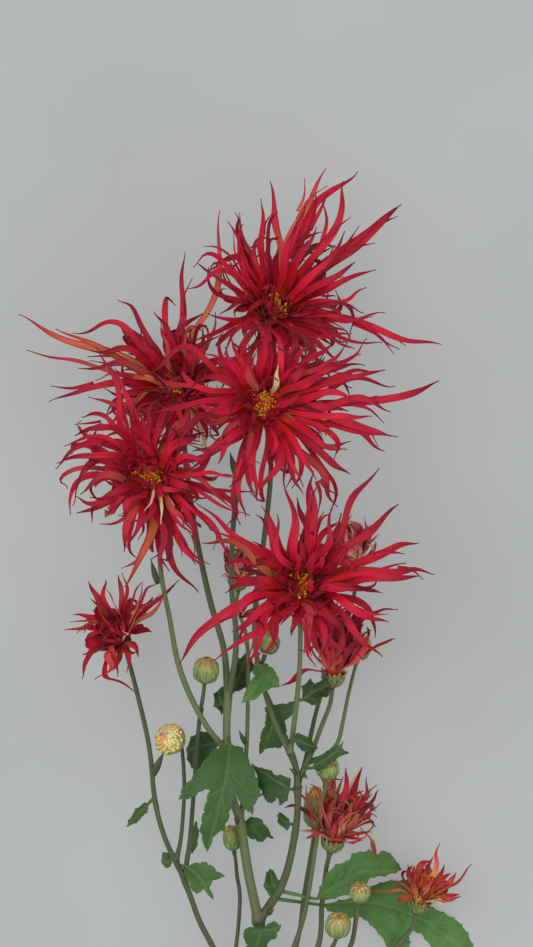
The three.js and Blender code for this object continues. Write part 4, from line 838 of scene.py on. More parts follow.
# The height of a tip over the heart: florets that look short point at the eye
def tip_lift(head, tip):
    bloom = head.bloom
    across = (tip[0] - bloom["heart"][0]) * MM_PER_UNIT
    up = (bloom["heart"][1] - tip[1]) * MM_PER_UNIT
    faces = bloom["faces"]
    spare = math.sqrt(max(0, head.reach**2 - across * across - up * up))
    tilt = (across * faces[0] + up * faces[1]) / faces[2]
    flat = max(-12, min(12, -0.35 * tilt))
    return flat + (0.5 * spare + 2) * (1 if faces[2] > 0.5 else 0.25)


def ray_is_clear(head, way, wide, spread=False):
    points = way.spaced(BALL_SPACING)
    apart = np.linalg.norm(points - head.origin, axis=1)
    outside = points[apart > ROOT_AIR * head.size]
    radius = max(0.7, wide * 0.42)
    if not air.is_free(outside, radius, head.name):
        return False
    if spread and not air.is_free(points[apart > SPREAD_AIR * head.size], radius, None):
        return False
    air.fill(outside, radius, head.name)
    return True


# A side point of a floret leaves its edge a little before the place nearest to its own tip.
def lobe_way(way, lobe):
    shares = [0.2 + k * 0.05 for k in range(17)]
    nearest, best = shares[0], None
    for share in shares:
        place = way.at(share)
        reach = hypot3(place - seen(lobe, place[2]))
        if best is None or reach < best:
            nearest, best = share, reach
    start = way.at(max(0.25, nearest - 0.3))
    tip = seen(lobe, way.at(nearest)[2] + 1)
    middle = start + 0.5 * (tip - start)
    middle = middle + 0.35 * (way.at(nearest - 0.1) - middle)
    return Way([start, middle, tip])


class Ray:
    def __init__(self, way, toward, wide, twist, lobes=(), kind="plain"):
        self.way, self.toward, self.wide, self.twist = way, toward, wide, twist
        self.lobes, self.kind = list(lobes), kind


# A listed floret keeps its place in the view and changes height until it is clear.
def hand_placed_ray(head, ray, twist):
    lift = ray["lift"] if "lift" in ray else (-8 if ray.get("back") else tip_lift(head, ray["tip"]))
    for spread in (True, False):
        for shift in HEIGHT_TRIES:
            tip_height = head.bloom["height"] + lift + shift
            by_height = head.bloom["height"] + 0.62 * lift + 3 + 0.6 * shift
            by, tip = seen(ray["by"], by_height), seen(ray["tip"], tip_height)
            way, toward = ray_way(head, by, tip, ray["wide"])
            if not ray_is_clear(head, way, ray["wide"], spread):
                continue
            lobes = [lobe_way(way, lobe) for lobe in ray.get("lobes", [])]
            free = [lobe for lobe in lobes if ray_is_clear(head, lobe, LOBE_WIDE)]
            return Ray(way, toward, ray["wide"], twist, free, "back" if ray.get("back") else "plain")
    return None


# A floret drawn by rule stands on a spiral: steep and short inside, long and spread outside.
def seeded_ray(head, index, count, base):
    for attempt in range(ATTEMPTS):
        random = seeded_numbers(base + index * 31 + attempt * NEXT_ATTEMPT)
        share = (index + 0.5) / count
        turn = index * GOLDEN_TURN + base + (random() - 0.5) * 0.9
        tilt = 0.3 + 1.45 * math.sqrt(share) + (random() - 0.5) * 0.35
        length = head.reach * (0.5 + 0.34 * share) * (0.8 + 0.4 * random())
        bend = 0.15 + 0.35 * random()
        swirl = (random() - 0.5) * 0.5
        wide = (2.4 + 1.3 * random()) * (0.6 + 0.4 * head.size)
        by = spherical(head, tilt, turn, length * 0.55)
        tip = spherical(head, tilt + bend, turn + swirl, length)
        way, toward = ray_way(head, by, tip, wide)
        if not ray_is_clear(head, way, wide, attempt < SAFE_ATTEMPTS):
            continue
        return Ray(way, toward, wide, (random() - 0.5) * 0.8)
    return None


def spherical(head, tilt, turn, distance):
    return head.frame.place(head.origin, distance * math.sin(tilt), turn, distance * math.cos(tilt))


# Leaves: how high a blade lies, and whether it is clear of what is there
def nearest_on_rib(rib, point):
    best, along = math.inf, 0.0
    for k in range(len(rib) - 1):
        (ax, ay), (bx, by) = rib[k], rib[k + 1]
        squared = (bx - ax) ** 2 + (by - ay) ** 2
        share = min(1, max(0, ((point[0] - ax) * (bx - ax) + (point[1] - ay) * (by - ay)) / squared))
        apart = math.hypot(point[0] - ax - share * (bx - ax), point[1] - ay - share * (by - ay))
        if apart < best:
            best, along = apart, (k + share) / (len(rib) - 1)
    return best, along


def leaf_height(leaf, point, shift):
    apart, along = nearest_on_rib(leaf["rib"], point)
    foot, tip = leaf["heights"]
    sides = leaf["fold"] * min(apart * MM_PER_UNIT, FOLD_REACH)
    height = foot + (tip - foot) * along + leaf["bow"] * 4 * along * (1 - along) + sides + shift
    return max(height, LEAF_THICK / 2)


def is_inside(outline, point):
    inside = False
    for k, (ax, ay) in enumerate(outline):
        bx, by = outline[(k + 1) % len(outline)]
        if (ay > point[1]) != (by > point[1]) and point[0] < ((bx - ax) * (point[1] - ay)) / (by - ay) + ax:
            inside = not inside
    return inside


def leaf_outline(leaf):
    return [leaf["rib"][0], *leaf["left"], leaf["rib"][-1], *leaf["right"][::-1]]


def leaf_samples(leaf, shift):
    step = 6
    outline = leaf_outline(leaf)
    samples = [*outline, *leaf["rib"]]
    low, high = min(x for x, _ in outline), max(x for x, _ in outline)
    top, bottom = min(y for _, y in outline), max(y for _, y in outline)
    across = low
    while across <= high:
        down = top
        while down <= bottom:
            if is_inside(outline, (across, down)):
                samples.append([across, down])
            down += step
        across += step
    return np.array([seen(point, leaf_height(leaf, point, shift)) for point in samples])


def leaf_shift(name, leaf):
    root = seen(leaf["from"], leaf["from"][2])
    for shift in HEIGHT_TRIES:
        samples = leaf_samples(leaf, shift)
        away = samples[np.linalg.norm(samples - root, axis=1) > STALK_REACH]
        if air.is_free(away, LEAF_AIR, name):
            air.fill(samples, LEAF_AIR, name)
            return shift
    return None


def fill_stem_and_heads(heads):
    for branch in BRANCHES.values():
        air.fill(branch_way(branch).spaced(BALL_SPACING), max(branch["wide"]) / 2, "stem")
    for name, head in heads.items():
        cup = head.origin - 4 * head.size * head.frame.axis
        air.fill(head.origin, (CORE_RADIUS + 1) * head.size, name)
        air.fill(cup, CORE_RADIUS * head.size, name)
    for name, bud in BUDS.items():
        axis = Frame(bud["faces"]).axis
        middle = seen(bud["at"], bud["height"])
        shoulder = max(0, (bud["tall"] - bud["wide"]) / 2)
        air.fill([middle + k * axis for k in (-shoulder, 0, shoulder)], bud["wide"] / 2, name)


heads = {name: Head(name) for name in BLOOMS}
fill_stem_and_heads(heads)
leaf_shifts = {name: leaf_shift(name, leaf) for name, leaf in LEAVES.items()}
for order, head in enumerate(heads.values()):
    random = seeded_numbers(101 + order)
    for ray in head.bloom["rays"]:
        made = hand_placed_ray(head, ray, (random() - 0.5) * 0.7)
        if made:
            head.rays.append(made)
for order, head in enumerate(heads.values()):
    for index in range(head.bloom["seeded"]):
        made = seeded_ray(head, index, head.bloom["seeded"], 500 + order * 97)
        if made:
            head.rays.append(made)


# The whole model's shift, from where the cut end of the stem lies
def model_shift():
    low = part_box("stem")[0][1] / METRES
    points = np.array([vertex.co[:] for vertex in bpy.data.objects["stem"].data.vertices]) / METRES
    end = points[points[:, 1] < low + 0.1]
    cut = seen(CUT_END_AT, REST_HEIGHT)
    return np.array([(end[:, 0].min() + end[:, 0].max()) / 2 - cut[0], low - cut[1], 0.0])


SHIFT = model_shift()


# A piece of the scene while it is being made: its places in millimetres, its faces and two marks per place.
# "place" marks how far along, how far across and which tone; "mood" marks reverse, dryness and darkness.
class Piece:
    def __init__(self, name):
        self.name = name
        self.points, self.places, self.moods = [], [], []
        self.faces = []
        self.count = 0

    def add(self, points, faces, place, mood):
        points = np.asarray(points, float).reshape(-1, 3)
        number = len(points)
        self.points.append(points)
        self.places.append(np.broadcast_to(np.asarray(place, float), (number, 3)))
        self.moods.append(np.broadcast_to(np.asarray(mood, float), (number, 3)))
        self.faces.extend((np.asarray(face) + self.count).tolist() for face in faces)
        self.count += number

    # Rings of points, closed round and at both ends
    def add_rings(self, rings, place, mood, closed_ends=True):
        rings = np.asarray(rings, float)
        number, sides = rings.shape[:2]
        faces = []
        for ring in range(number - 1):
            here = ring * sides + np.arange(sides)
            after = ring * sides + (np.arange(sides) + 1) % sides
            faces.extend(np.stack([here, after, after + sides, here + sides], axis=1))
        if closed_ends:
            faces.append(np.arange(sides)[::-1])
            faces.append(np.arange(sides) + (number - 1) * sides)
        place = np.asarray(place, float).reshape(-1, 3)
        mood = np.asarray(mood, float).reshape(-1, 3)
        self.add(rings, faces, place, mood)

    def finish(self, material, slot, *nodes):
        mesh = bpy.data.meshes.new(self.name)
        points = (np.vstack(self.points) + SHIFT) * METRES
        mesh.from_pydata(points.tolist(), [], self.faces)
        mesh.polygons.foreach_set("use_smooth", np.ones(len(mesh.polygons), bool))
        for label, marks in (("place", self.places), ("mood", self.moods)):
            layer = mesh.attributes.new(label, "FLOAT_VECTOR", "POINT")
            layer.data.foreach_set("vector", np.vstack(marks).astype(np.float32).ravel())
        mesh.materials.append(material)
        piece = bpy.data.objects.new(self.name, mesh)
        bpy.context.collection.objects.link(piece)
        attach(piece, "root")
        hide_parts(*nodes)
        return piece


def smooth_step(low, high, value):
    share = np.clip((value - low) / (high - low), 0, 1)
    return share * share * (3 - 2 * share)


# Directions square to a way: up, towards the given side and turned by the twist, and across
def carried(way, stations, toward, twist):
    travel = way.travel(stations)
    toward = np.asarray(toward, float)
    up = toward - (travel @ toward)[:, None] * travel
    up /= np.maximum(np.linalg.norm(up, axis=1, keepdims=True), 1e-9)
    turn = np.asarray(twist)[:, None]
    up = up * np.cos(turn) + np.cross(travel, up) * np.sin(turn)
    return up, np.cross(up, travel)


# The thin closed strip that every floret and bract is made of: hollowed along its middle, with fine ribs
class Strip:
    def __init__(self, half=3, thick=0.22, channel=0.3, ribs=0.05, rib_count=3):
        self.half = half  # places from the middle to a margin, on each face
        self.thick, self.channel, self.ribs, self.rib_count = thick, channel, ribs, rib_count

    def across(self):
        upper = np.linspace(-1, 1, 2 * self.half + 1)
        return np.append(upper, upper[-2:0:-1])

    def build(self, piece, middles, up, across, widths, along, tone, mood, channels=None):
        spread = self.across()
        top_count = 2 * self.half + 1
        under = np.arange(len(spread)) >= top_count
        half_widths = (np.asarray(widths) / 2)[:, None]
        channels = np.full(len(middles), self.channel) if channels is None else channels
        hollow = (spread**2 - 0.35)[None] * channels[:, None] * half_widths
        ribs = self.ribs * np.cos(spread * math.pi * self.rib_count)[None] * np.minimum(half_widths, 1)
        thick = np.where(under, self.thick * (1 - 0.75 * spread**2), 0)[None]
        heights = hollow + ribs - thick * np.minimum(1, half_widths / 0.4)
        sideways = spread[None] * half_widths
        rings = middles[:, None] + across[:, None] * sideways[..., None] + up[:, None] * heights[..., None]
        place = np.stack(np.broadcast_arrays(np.asarray(along)[:, None], spread[None], tone), axis=-1)
        reverse = np.where(under, HALF_TURNED * (1 - mood[0]), mood[0])[None]
        marks = np.stack(np.broadcast_arrays(reverse, mood[1], mood[2] * np.ones((len(middles), 1))), axis=-1)
        piece.add_rings(rings, place, marks)


TAPER = 1.9  # a floret keeps its width and narrows late
BLUNT = 0.42  # mm, its tip


def floret_widths(t, wide, widest, root, tip):
    swelling = root + (1 - root) * np.sin(np.minimum(t / widest, 1) * math.pi / 2)
    past = np.maximum(0, t - widest) / (1 - widest)
    return np.maximum(wide * swelling * (1 - past**TAPER), tip)


# How each kind of floret looks: its reverse turned up, dried, darkened
KINDS = {
    "plain": (0, 0, 0),
    "back": (1, 0, 0),
    "dark": (0, 0, 0.8),
    "dry": (0.4, 1, 0),
    "pink": (0, 0.1, 0.0),
    "peach": (0.45, 0.05, 0),
}
# How many of a head's florets turn up a little or all of their reverse
TURNED = {"upperLeft": 0.34, "lowerLeft": 0.18, "leftSmall": 0.36, "rightSmall": 0.4, "lowRight": 0.3}
# How dark and how pale the florets of a head are on the whole; the pale share of rightSmall, toward the dried
# colour, is partly its colour and partly painted highlight
SHADES = {"leftSmall": (0.4, 0.0), "rightSmall": (0.0, 0.42), "top": (0.05, 0.0), "behindFront": (0.1, 0.0)}
FEW_TURNED = 0.07
HALF_TURNED = 0.45
FLORET = Strip()
BROAD_FLORET = Strip(half=4, thick=0.26, channel=0.22, ribs=0.07, rib_count=4)
NARROW_FLORET = Strip(half=2, thick=0.2, channel=0.3, ribs=0, rib_count=2)
NARROW, BROAD = 2.1, 3.4  # mm
SWAY, WAVE = 7.5, 4.4  # mm, how far a long floret leaves its way, aside and up
HOOK_UP, HOOK_ASIDE = 4.4, 7.0  # mm, at its tip
HOOKED_FROM = 30  # mm, the length from which a tip hooks fully
SPLIT_SHARE = 0.28  # of the long broad florets, those whose tips split


# One ray floret: a strip that sways a little about its way and ends in a fine, often hooked tip
def add_floret(piece, ray, seed, stations=20, wild=1.0, turned=FEW_TURNED, shade=(0, 0)):
    random = seeded_numbers(seed)
    t = 1 - (1 - np.linspace(0, 1, stations)) ** 1.15
    length = ray.way.length()
    up, across = carried(ray.way, t, ray.toward, ray.twist * t)
    calm = min(1, length / 40) * wild
    sway = (random() - 0.5) * SWAY * calm
    lift = (random() - 0.5) * WAVE * calm
    phase = random() * 2
    vanish = np.sin(math.pi * t)
    middles = ray.way.at(t)
    middles = middles + across * (sway * np.sin(math.pi * t * 1.9 + phase) * vanish)[:, None]
    middles = middles + up * (lift * np.sin(math.pi * t * 2.3 + phase * 2) * vanish)[:, None]
    hook = smooth_step(0.66, 1.0, t) ** 2
    hooked = min(1, length / HOOKED_FROM)
    middles = middles + up * ((random() - 0.3) * HOOK_UP * hooked * hook)[:, None]
    middles = middles + across * ((random() - 0.5) * HOOK_ASIDE * hooked * hook)[:, None]
    middles[:, 2] = np.maximum(middles[:, 2], FLORET_REST)
    widest = 0.3 + 0.25 * random()
    wide = ray.wide * (0.92 if ray.wide > 3.6 else 1)
    widths = floret_widths(t, wide, widest, 0.5 + 0.15 * random(), BLUNT)
    widths = widths * (1 + 0.06 * np.sin(t * 19 + phase * 7))
    tone = random()
    mood = list(KINDS[ray.kind])
    if ray.kind == "plain" and random() < turned:
        mood[0] = 1.0 if random() < 0.2 else HALF_TURNED
    mood[1] += 0.05 * random()
    mood[2] += 0.3 * random() ** 3
    mood[1] += shade[1] * random()
    mood[2] += shade[0] * random()
    channels = 0.15 + 0.5 * random() * (1 - smooth_step(0.1, 0.7, t)) + 0.7 * smooth_step(0.6, 1, t)
    strip = BROAD_FLORET if ray.wide > BROAD else FLORET if ray.wide > NARROW else NARROW_FLORET
    if ray.wide > 2.8 and length > 24 and random() < SPLIT_SHARE and not ray.lobes:
        add_split_tips(piece, ray, random, tone, mood, length)
    strip.build(piece, middles, up, across, widths, t, tone, mood, channels)
    for lobe in ray.lobes:
        add_lobe(piece, lobe, ray.toward, 1.8, tone, mood, 0.5)


# Narrow points that part from a floret's margins before its tip
def add_split_tips(piece, ray, random, tone, mood, length):
    wide = ray.wide
    for side in (-1, 1):
        if side == 1 and random() < 0.4:
            continue
        leaves_at = 0.45 + 0.2 * random()
        ends_at = min(0.98, leaves_at + 0.22 + 0.16 * random())
        at = np.array([leaves_at, (leaves_at + ends_at) / 2, ends_at])
        up, across = carried(ray.way, at, ray.toward, ray.twist * at)
        spread = np.array([0.18 * wide, 0.4 * wide, 0.42 * wide + (0.03 + 0.06 * random()) * length])
        rise = np.array([0, 0.2, (random() - 0.3) * 3.5])
        points = ray.way.at(at) + across * (side * spread)[:, None] + up * rise[:, None]
        add_lobe(piece, Way(points), ray.toward, 0.42 * wide, tone, mood, leaves_at)


def add_lobe(piece, way, toward, wide, tone, mood, begins):
    t = np.linspace(0, 1, 11)
    up, across = carried(way, t, toward, 0 * t)
    middles = way.at(t) - up * 0.06
    middles[:, 2] = np.maximum(middles[:, 2], FLORET_REST)
    widths = np.maximum(0.36, wide * (1 - t**TAPER))
    along = begins + (1 - begins) * t
    NARROW_FLORET.build(piece, middles, up, across, widths, along, tone, mood, np.full(len(t), 0.35))


def add_core(piece, head):
    profile = [[3.6, HEM], [5.0, -0.8], [5.0, WAIST], [4.3, CROWN], [3.0, CROWN + 0.1], [0.3, CROWN + 0.15]]
    sides = 28
    turns = np.arange(sides) / sides * 2 * math.pi
    rings = [[head.place(radius * 0.96, turn, along) for turn in turns] for radius, along in profile]
    count = len(profile) * sides
    piece.add_rings(rings, np.tile([0.16, 0, 0.5], (count, 1)), np.tile([0, 0, 0.25], (count, 1)))


# The florets that fill a head by rule, layer by layer from the outside in
def filling_rays(head, order):
    made = []
    for layer, (count, *ranges) in enumerate(FILLING[head.name]):
        for index in range(count):
            ray = filling_ray(head, order, layer, index, ranges)
            if ray:
                made.append(ray)
    return made


# Which way the loose florets of a head are swept, across and up
SWEEPS = {
    "top": (0.5, -0.2), "middle": (0.4, -0.6), "upperLeft": (-0.5, -0.3), "lowerLeft": (-0.3, -1.1),
    "front": (0.1, -0.5), "leftSmall": (-0.5, -1.0), "behindFront": (0, 0.4), "rightSmall": (0.5, 0.4),
    "lowRight": (0.3, 0.3), "wiltedRight": (0, -0.4), "wiltedLeft": (0, -0.4),
}


def rotated(vector, about, angle):
    return vector * math.cos(angle) + np.cross(about, vector) * math.sin(angle)


def within(limits, share):
    return limits[0] + (limits[1] - limits[0]) * share


# A floret grown step by step: it bends away from the axis, sways sideways and curls at its end.
def grown_way(head, turn, tilt, length, bend, sway, curl, curl_side, droop, wide):
    axis = head.frame.axis
    direction = spherical(head, tilt, turn, 1.0) - head.origin
    outward = unit(head.place(1, turn, 0) - head.origin)
    lean = min(1, tilt / (math.pi / 2))
    root = head.place(3.9 + 0.6 * lean, turn, 2.2 - 2.7 * lean)
    steps = 12
    points = [root]
    for step in range(steps):
        share = (step + 0.5) / steps
        about = unit(np.cross(axis, outward))
        direction = rotated(direction, about, bend / steps)
        over = unit(np.cross(direction, about))
        hooked = unit(about * math.cos(curl_side) + over * math.sin(curl_side))
        direction = rotated(direction, hooked, curl * 5 * share**4 / steps)
        direction = unit(rotated(direction, over, sway * math.cos(math.pi * 1.4 * share) / steps * 2))
        direction = unit(direction + np.array([*SWEEPS[head.name], 0]) * droop * share / steps)
        points.append(above_table(points[-1] + direction * length / steps, wide))
    return Way(points[::2]), axis - FACE_LEAN * outward


def filling_ray(head, order, layer, index, ranges):
    tilts, lengths, bends, widths = ranges
    for attempt in range(FILLING_ATTEMPTS):
        seed = LAYER_SEED + order * 4099 + layer * 911 + index * 37 + attempt * NEXT_ATTEMPT
        random = seeded_numbers(seed)
        turn = index * GOLDEN_TURN + layer * 1.3 + order + (random() - 0.5) * 0.7
        tilt = within(tilts, random())
        length = head.reach * within(lengths, random() ** 1.3)
        bend = within(bends, random())
        sway = (random() - 0.5) * 3.2
        curl = (0.9 + 2.2 * random()) * (1 if random() < 0.6 else -1) * (1 if random() < 0.55 else 0.3)
        curly = random() < 0.1
        curl = curl * 2.4 if curly else curl
        curl_side = math.pi * (random() - 0.5)
        droop = 2.2 * random() if layer < 2 else 0.4
        wide = within(widths, random() ** 1.3) * (0.55 + 0.45 * head.size)
        way, toward = grown_way(head, turn, tilt, length, bend, sway, curl, curl_side, droop, wide)
        if not ray_is_clear(head, way, wide * 0.6, layer == 0 and attempt < 3):
            continue
        kind = "dark" if curly or random() < 0.05 else "plain"
        return Ray(way, toward, wide, (random() - 0.5) * 1.6, kind=kind)
    return None


def fine_rays(head, order):
    made = []
    for index, ray in enumerate(FINE_RAYS[head.name]):
        placed = hand_placed_ray(head, ray, (seeded_numbers(301 + order * 53 + index)() - 0.5) * 0.8)
        if placed:
            placed.kind = ray.get("kind", "plain")
            made.append(placed)
    return made


MAIN_SEED, FILLING_SEED = 5000, 15000
HEAD_STEP, FLORET_STEP = 997, 13


def petals_of(head, order, material):
    piece = Piece("petals_" + head.name)
    add_core(piece, head)
    turned = TURNED.get(head.name, FEW_TURNED)
    shade = SHADES.get(head.name, (0, 0))
    for index, ray in enumerate(head.rays):
        seed = MAIN_SEED + order * HEAD_STEP + index * FLORET_STEP
        add_floret(piece, ray, seed, stations=26, turned=turned, shade=shade)
    for index, ray in enumerate(head.fine + head.filling):
        seed = FILLING_SEED + order * HEAD_STEP + index * FLORET_STEP
        add_floret(piece, ray, seed, stations=18, wild=0.6, turned=turned, shade=shade)
    return piece.finish(material, SLOTS[head.bloom["colour"]], "rays_" + head.name)


SLOTS = {"rays": "rays", "orangeRays": "orange_rays", "wiltedRays": "wilted_rays"}


# How many tube florets show in each open head
DISC_COUNTS = {"top": 90, "middle": 96, "upperLeft": 60, "lowerLeft": 56, "front": 64, "lowRight": 70}


# Tube florets on the disc: the outer ones open into five-pointed stars, the inner ones are still closed.
def disc_of(head, material):
    piece = Piece("florets_" + head.name)
    foot = CROWN + GAP / head.size
    sides = 24
    turns = np.arange(sides) / sides * 2 * math.pi
    profile = [[2.9, foot], [2.8, foot + 0.7], [1.8, foot + 1.3], [0.2, foot + 1.5]]
    rings = [[head.place(radius, turn, along) for turn in turns] for radius, along in profile]
    number = len(profile) * sides
    # The button takes a low mark and so the dark red-brown of the disc colours: partly its colour, partly
    # painted shade
    piece.add_rings(rings, np.tile([0.1, 0, 0.5], (number, 1)), np.tile([0, 0, 0.3], (number, 1)))
    count = DISC_COUNTS.get(head.name, 56)
    for k in range(count):
        random = seeded_numbers(40001 + k * 19 + len(head.name) * 7)
        share = (k + 0.5) / count
        turn = k * GOLDEN_TURN + 0.3 * (random() - 0.5)
        crowded = math.sin(2 * turn + len(head.name)) + 0.8 * math.sin(3 * turn + 1.3 * len(head.name))
        if share > 0.35 and crowded < -0.2:
            continue
        add_tube_floret(piece, head, foot, share, turn, random)
    return piece.finish(material, "disc", "disc_" + head.name)


def add_tube_floret(piece, head, foot, share, turn, random):
    size = head.size
    radius = 4.6 * math.sqrt(share)
    root = head.place(min(radius * 0.85, 3.3), turn, foot + 1.2 - 1.2 * share)
    radial = unit(head.place(1, turn, 0) - head.origin)
    lean = 0.1 + 1.1 * share * random() + (random() - 0.5) * 0.9
    aside = (random() - 0.5) * head.frame.side + (random() - 0.5) * head.frame.front
    direction = unit(head.frame.axis + lean * radial + 0.7 * aside)
    length = (0.8 + 1.6 * share + 3.2 * random() ** 2) * size
    first = unit(np.cross(direction, [0.3, 0.5, 0.8]))
    second = np.cross(direction, first)
    opens = share > 0.35
    throat, mouth = (0.5, 0.78) if opens else (0.34, 0.12)
    stages = [(0, 0.2), (0.45, 0.24), (0.8, 0.34), (0.93, throat), (1, mouth)]
    sides = 10
    rings = []
    for along, wide in stages:
        notch = 0.45 if opens and along > 0.95 else 0
        turns = np.arange(sides) / sides * 2 * math.pi
        widths = wide * size * (1 - notch * (np.arange(sides) % 2))
        middle = root + direction * (along * length)
        sideways = np.outer(np.cos(turns) * widths, first)
        rings.append(middle + sideways + np.outer(np.sin(turns) * widths, second))
    marks = [[along, 0, random()] for along, _ in stages for _ in range(sides)]
    tone = random()
    piece.add_rings(rings, [[along, 0, tone] for along, _, _ in marks], np.tile([0, 0, 0.0], (len(marks), 1)))


# The cup under a head: rows of pointed bracts, each over the foot of the next
BRACT = Strip(half=2, thick=0.3, channel=-0.35, ribs=0.04, rib_count=2)


def cup_radius(along):
    return np.interp(along, [CUP_FOOT, -8.6, -7.0, -5.0, HEM, 0.2], [1.5, 2.9, 4.6, 5.6, 5.9, 6.5])


def calyx_of(head, material):
    piece = Piece("cup_" + head.name)
    sides = 30
    turns = np.arange(sides) / sides * 2 * math.pi
    heights = [CUP_FOOT, -8.9, -8, -6.6, -5, -3.4, HEM - GAP, HEM - GAP]
    rings = [
        [head.place(float(cup_radius(along)) * (0.94 if k < 7 else 0.3), turn, along) for turn in turns]
        for k, along in enumerate(heights)
    ]
    number = len(heights) * sides
    marks = [[(along - CUP_FOOT) / 8, 0, 0.4] for along in heights for _ in range(sides)]
    piece.add_rings(rings, marks, np.tile([0, 0, 0.35], (number, 1)))
    rows = [[-8.8, 4.2, 9], [-7.6, 4.8, 12], [-6.0, 5.2, 14], [-4.4, 4.6, 15]]
    for row, (begins, length, count) in enumerate(rows):
        for k in range(count):
            random = seeded_numbers(60001 + row * 101 + k * 17 + len(head.name))
            turn = (k + 0.5 * (row % 2) + 0.25 * (random() - 0.5)) / count * 2 * math.pi
            add_cup_bract(piece, head, begins, length * (0.85 + 0.3 * random()), turn, random)
    return piece.finish(material, "calyx", "calyx_" + head.name)


def add_cup_bract(piece, head, begins, length, turn, random):
    heights = begins + np.array([0, 0.35, 0.7, 1]) * length
    lifts = np.array([0.0, 0.2, 0.3, 0.35 + 0.5 * random()])
    radii = cup_radius(heights) + lifts
    way = Way([head.place(radius, turn, along) for radius, along in zip(radii, heights)])
    t = np.linspace(0, 1, 8)
    outward = unit(head.place(1, turn, 0) - head.origin)
    up, across = carried(way, t, outward, 0 * t)
    widths = np.maximum(0.2, 2.5 * head.size * np.sin(math.pi * (0.2 + 0.8 * t)) ** 0.8 * (1 - 0.3 * t))
    BRACT.build(piece, way.at(t), up, across, widths, 0.2 + 0.8 * t, random(), (0, 0, 0))


# Buds: a round body wrapped in rows of bracts, with a tuft of young florets at the crown of those that open
BUD_LOOKS = {
    "stripedBud": {"rows": 4, "tuft": 0.25, "ripe": 0.45},
    "openingBud": {"rows": 3, "tuft": 1.9, "ripe": 0.2, "open": True},
    "hangingBud": {"rows": 4, "tuft": 0.2, "ripe": 0.2},
    "paleBud": {"rows": 4, "tuft": 0.2, "ripe": 0.5},
    "roundBud": {"rows": 3, "tuft": 0.3, "ripe": 0.25},
    "sideBud": {"rows": 4, "tuft": 0.2, "ripe": 0.3},
    "yellowBud": {"rows": 3, "tuft": 0.35, "ripe": 0.15},
    "lowBud": {"rows": 4, "tuft": 0.35, "ripe": 0.15},
    "halfOpenBud": {"rows": 3, "tuft": 0.9, "ripe": 1.0},
}


def bud_radius(share):
    shares = [-0.5, -0.44, -0.3, -0.05, 0.22, 0.38, 0.46, 0.5]
    return np.interp(share, shares, [0.3, 0.62, 0.9, 1, 0.9, 0.66, 0.4, 0.08])


def bud_of(name, bud, material):
    piece = Piece("wrapped_" + name)
    frame = Frame(bud["faces"])
    middle = seen(bud["at"], bud["height"])
    wide, tall = bud["wide"], bud["tall"]
    look = BUD_LOOKS[name]
    sides = 32
    turns = np.arange(sides) / sides * 2 * math.pi
    shares = np.linspace(-0.5, 0.5, 16)
    rings = [
        [frame.place(middle, float(bud_radius(s)) * wide / 2 * 0.93, turn, s * tall * 0.97) for turn in turns]
        for s in shares
    ]
    marks = [[s + 0.5, 0, 0.5] for s in shares for _ in range(sides)]
    piece.add_rings(rings, marks, np.tile([look["tuft"], look["ripe"], 0.4], (len(marks), 1)))
    rows = look["rows"]
    for row in range(rows):
        begins = -0.46 + 0.18 * row
        length = 0.6 if row < rows - 1 else 0.5
        length = 0.42 if look.get("open") else length
        count = 8 + row
        for k in range(count):
            random = seeded_numbers(80001 + row * 131 + k * 23 + len(name) * 11)
            turn = (k + 0.5 * (row % 2) + 0.3 * (random() - 0.5)) / count * 2 * math.pi
            long = length * (0.9 + 0.2 * random())
            add_bud_bract(piece, bud, frame, middle, begins, long, turn, look, random)
    tufts = OPEN_TUFT if look.get("open") else int(26 * look["tuft"])
    for k in range(tufts):
        random = seeded_numbers(90001 + k * 29 + len(name) * 7)
        add_tuft_floret(piece, bud, frame, middle, k, tufts, look, random)
    return piece.finish(material, "bud", name)


OPEN_TUFT = 74  # young florets in the bud that opens


def add_bud_bract(piece, bud, frame, middle, begins, length, turn, look, random):
    wide, tall = bud["wide"], bud["tall"]
    shares = np.minimum(begins + np.linspace(0, 1, 5) * length, 0.49)
    tip_lift_most = 1.1 if look.get("open") else 0.25
    lifts = np.array([-0.1, 0.02, 0.08, 0.06, 0.1 + tip_lift_most * random()])
    radii = bud_radius(shares) * wide / 2 + lifts
    way = Way([frame.place(middle, radius, turn, share * tall) for radius, share in zip(radii, shares)])
    t = np.linspace(0, 1, 10)
    outward = unit(frame.place(middle, 1, turn, 0) - middle)
    up, across = carried(way, t, outward + 0.3 * frame.axis, 0 * t)
    breadth = bud["wide"] * 0.36
    widths = np.maximum(0.15, breadth * np.sin(math.pi * (0.25 + 0.75 * t)) ** 0.9)
    along = 0.5 + begins + t * length
    BRACT.build(piece, way.at(t), up, across, widths, along, random(), (look["tuft"], look["ripe"], 0))


def add_tuft_floret(piece, bud, frame, middle, k, count, look, random):
    wide, tall = bud["wide"], bud["tall"]
    share = (k + 0.5) / count
    turn = k * GOLDEN_TURN
    is_open = look.get("open", False)
    radius = wide / 2 * ((0.1 + 0.86 * math.sqrt(share)) if is_open else (0.15 + 0.6 * math.sqrt(share)))
    low = 0.5 - (0.36 if is_open else 0.26) * share
    inward = (0.1 + 0.35 * random()) if is_open else (0.45 + 0.4 * random())
    top = low + 0.12 + 0.1 * random() if is_open else 0.47 + 0.06 * random()
    points = [
        frame.place(middle, radius * 1.1, turn, tall * (low - 0.16)),
        frame.place(middle, radius * 1.08, turn + 0.1, tall * (low - 0.01)),
        frame.place(middle, radius * inward, turn + 0.35 * random(), tall * top),
    ]
    way = Way(points)
    t = np.linspace(0, 1, 9)
    outward = unit(frame.place(middle, 1, turn, 0) - middle)
    up, across = carried(way, t, outward, 0 * t)
    widths = np.maximum(0.2, wide * (0.15 if is_open else 0.16) * np.sin(math.pi * (0.3 + 0.62 * t)))
    BRACT.build(piece, way.at(t), up, across, widths, 0.2 * t, random(), (look["tuft"], look["ripe"], 1))


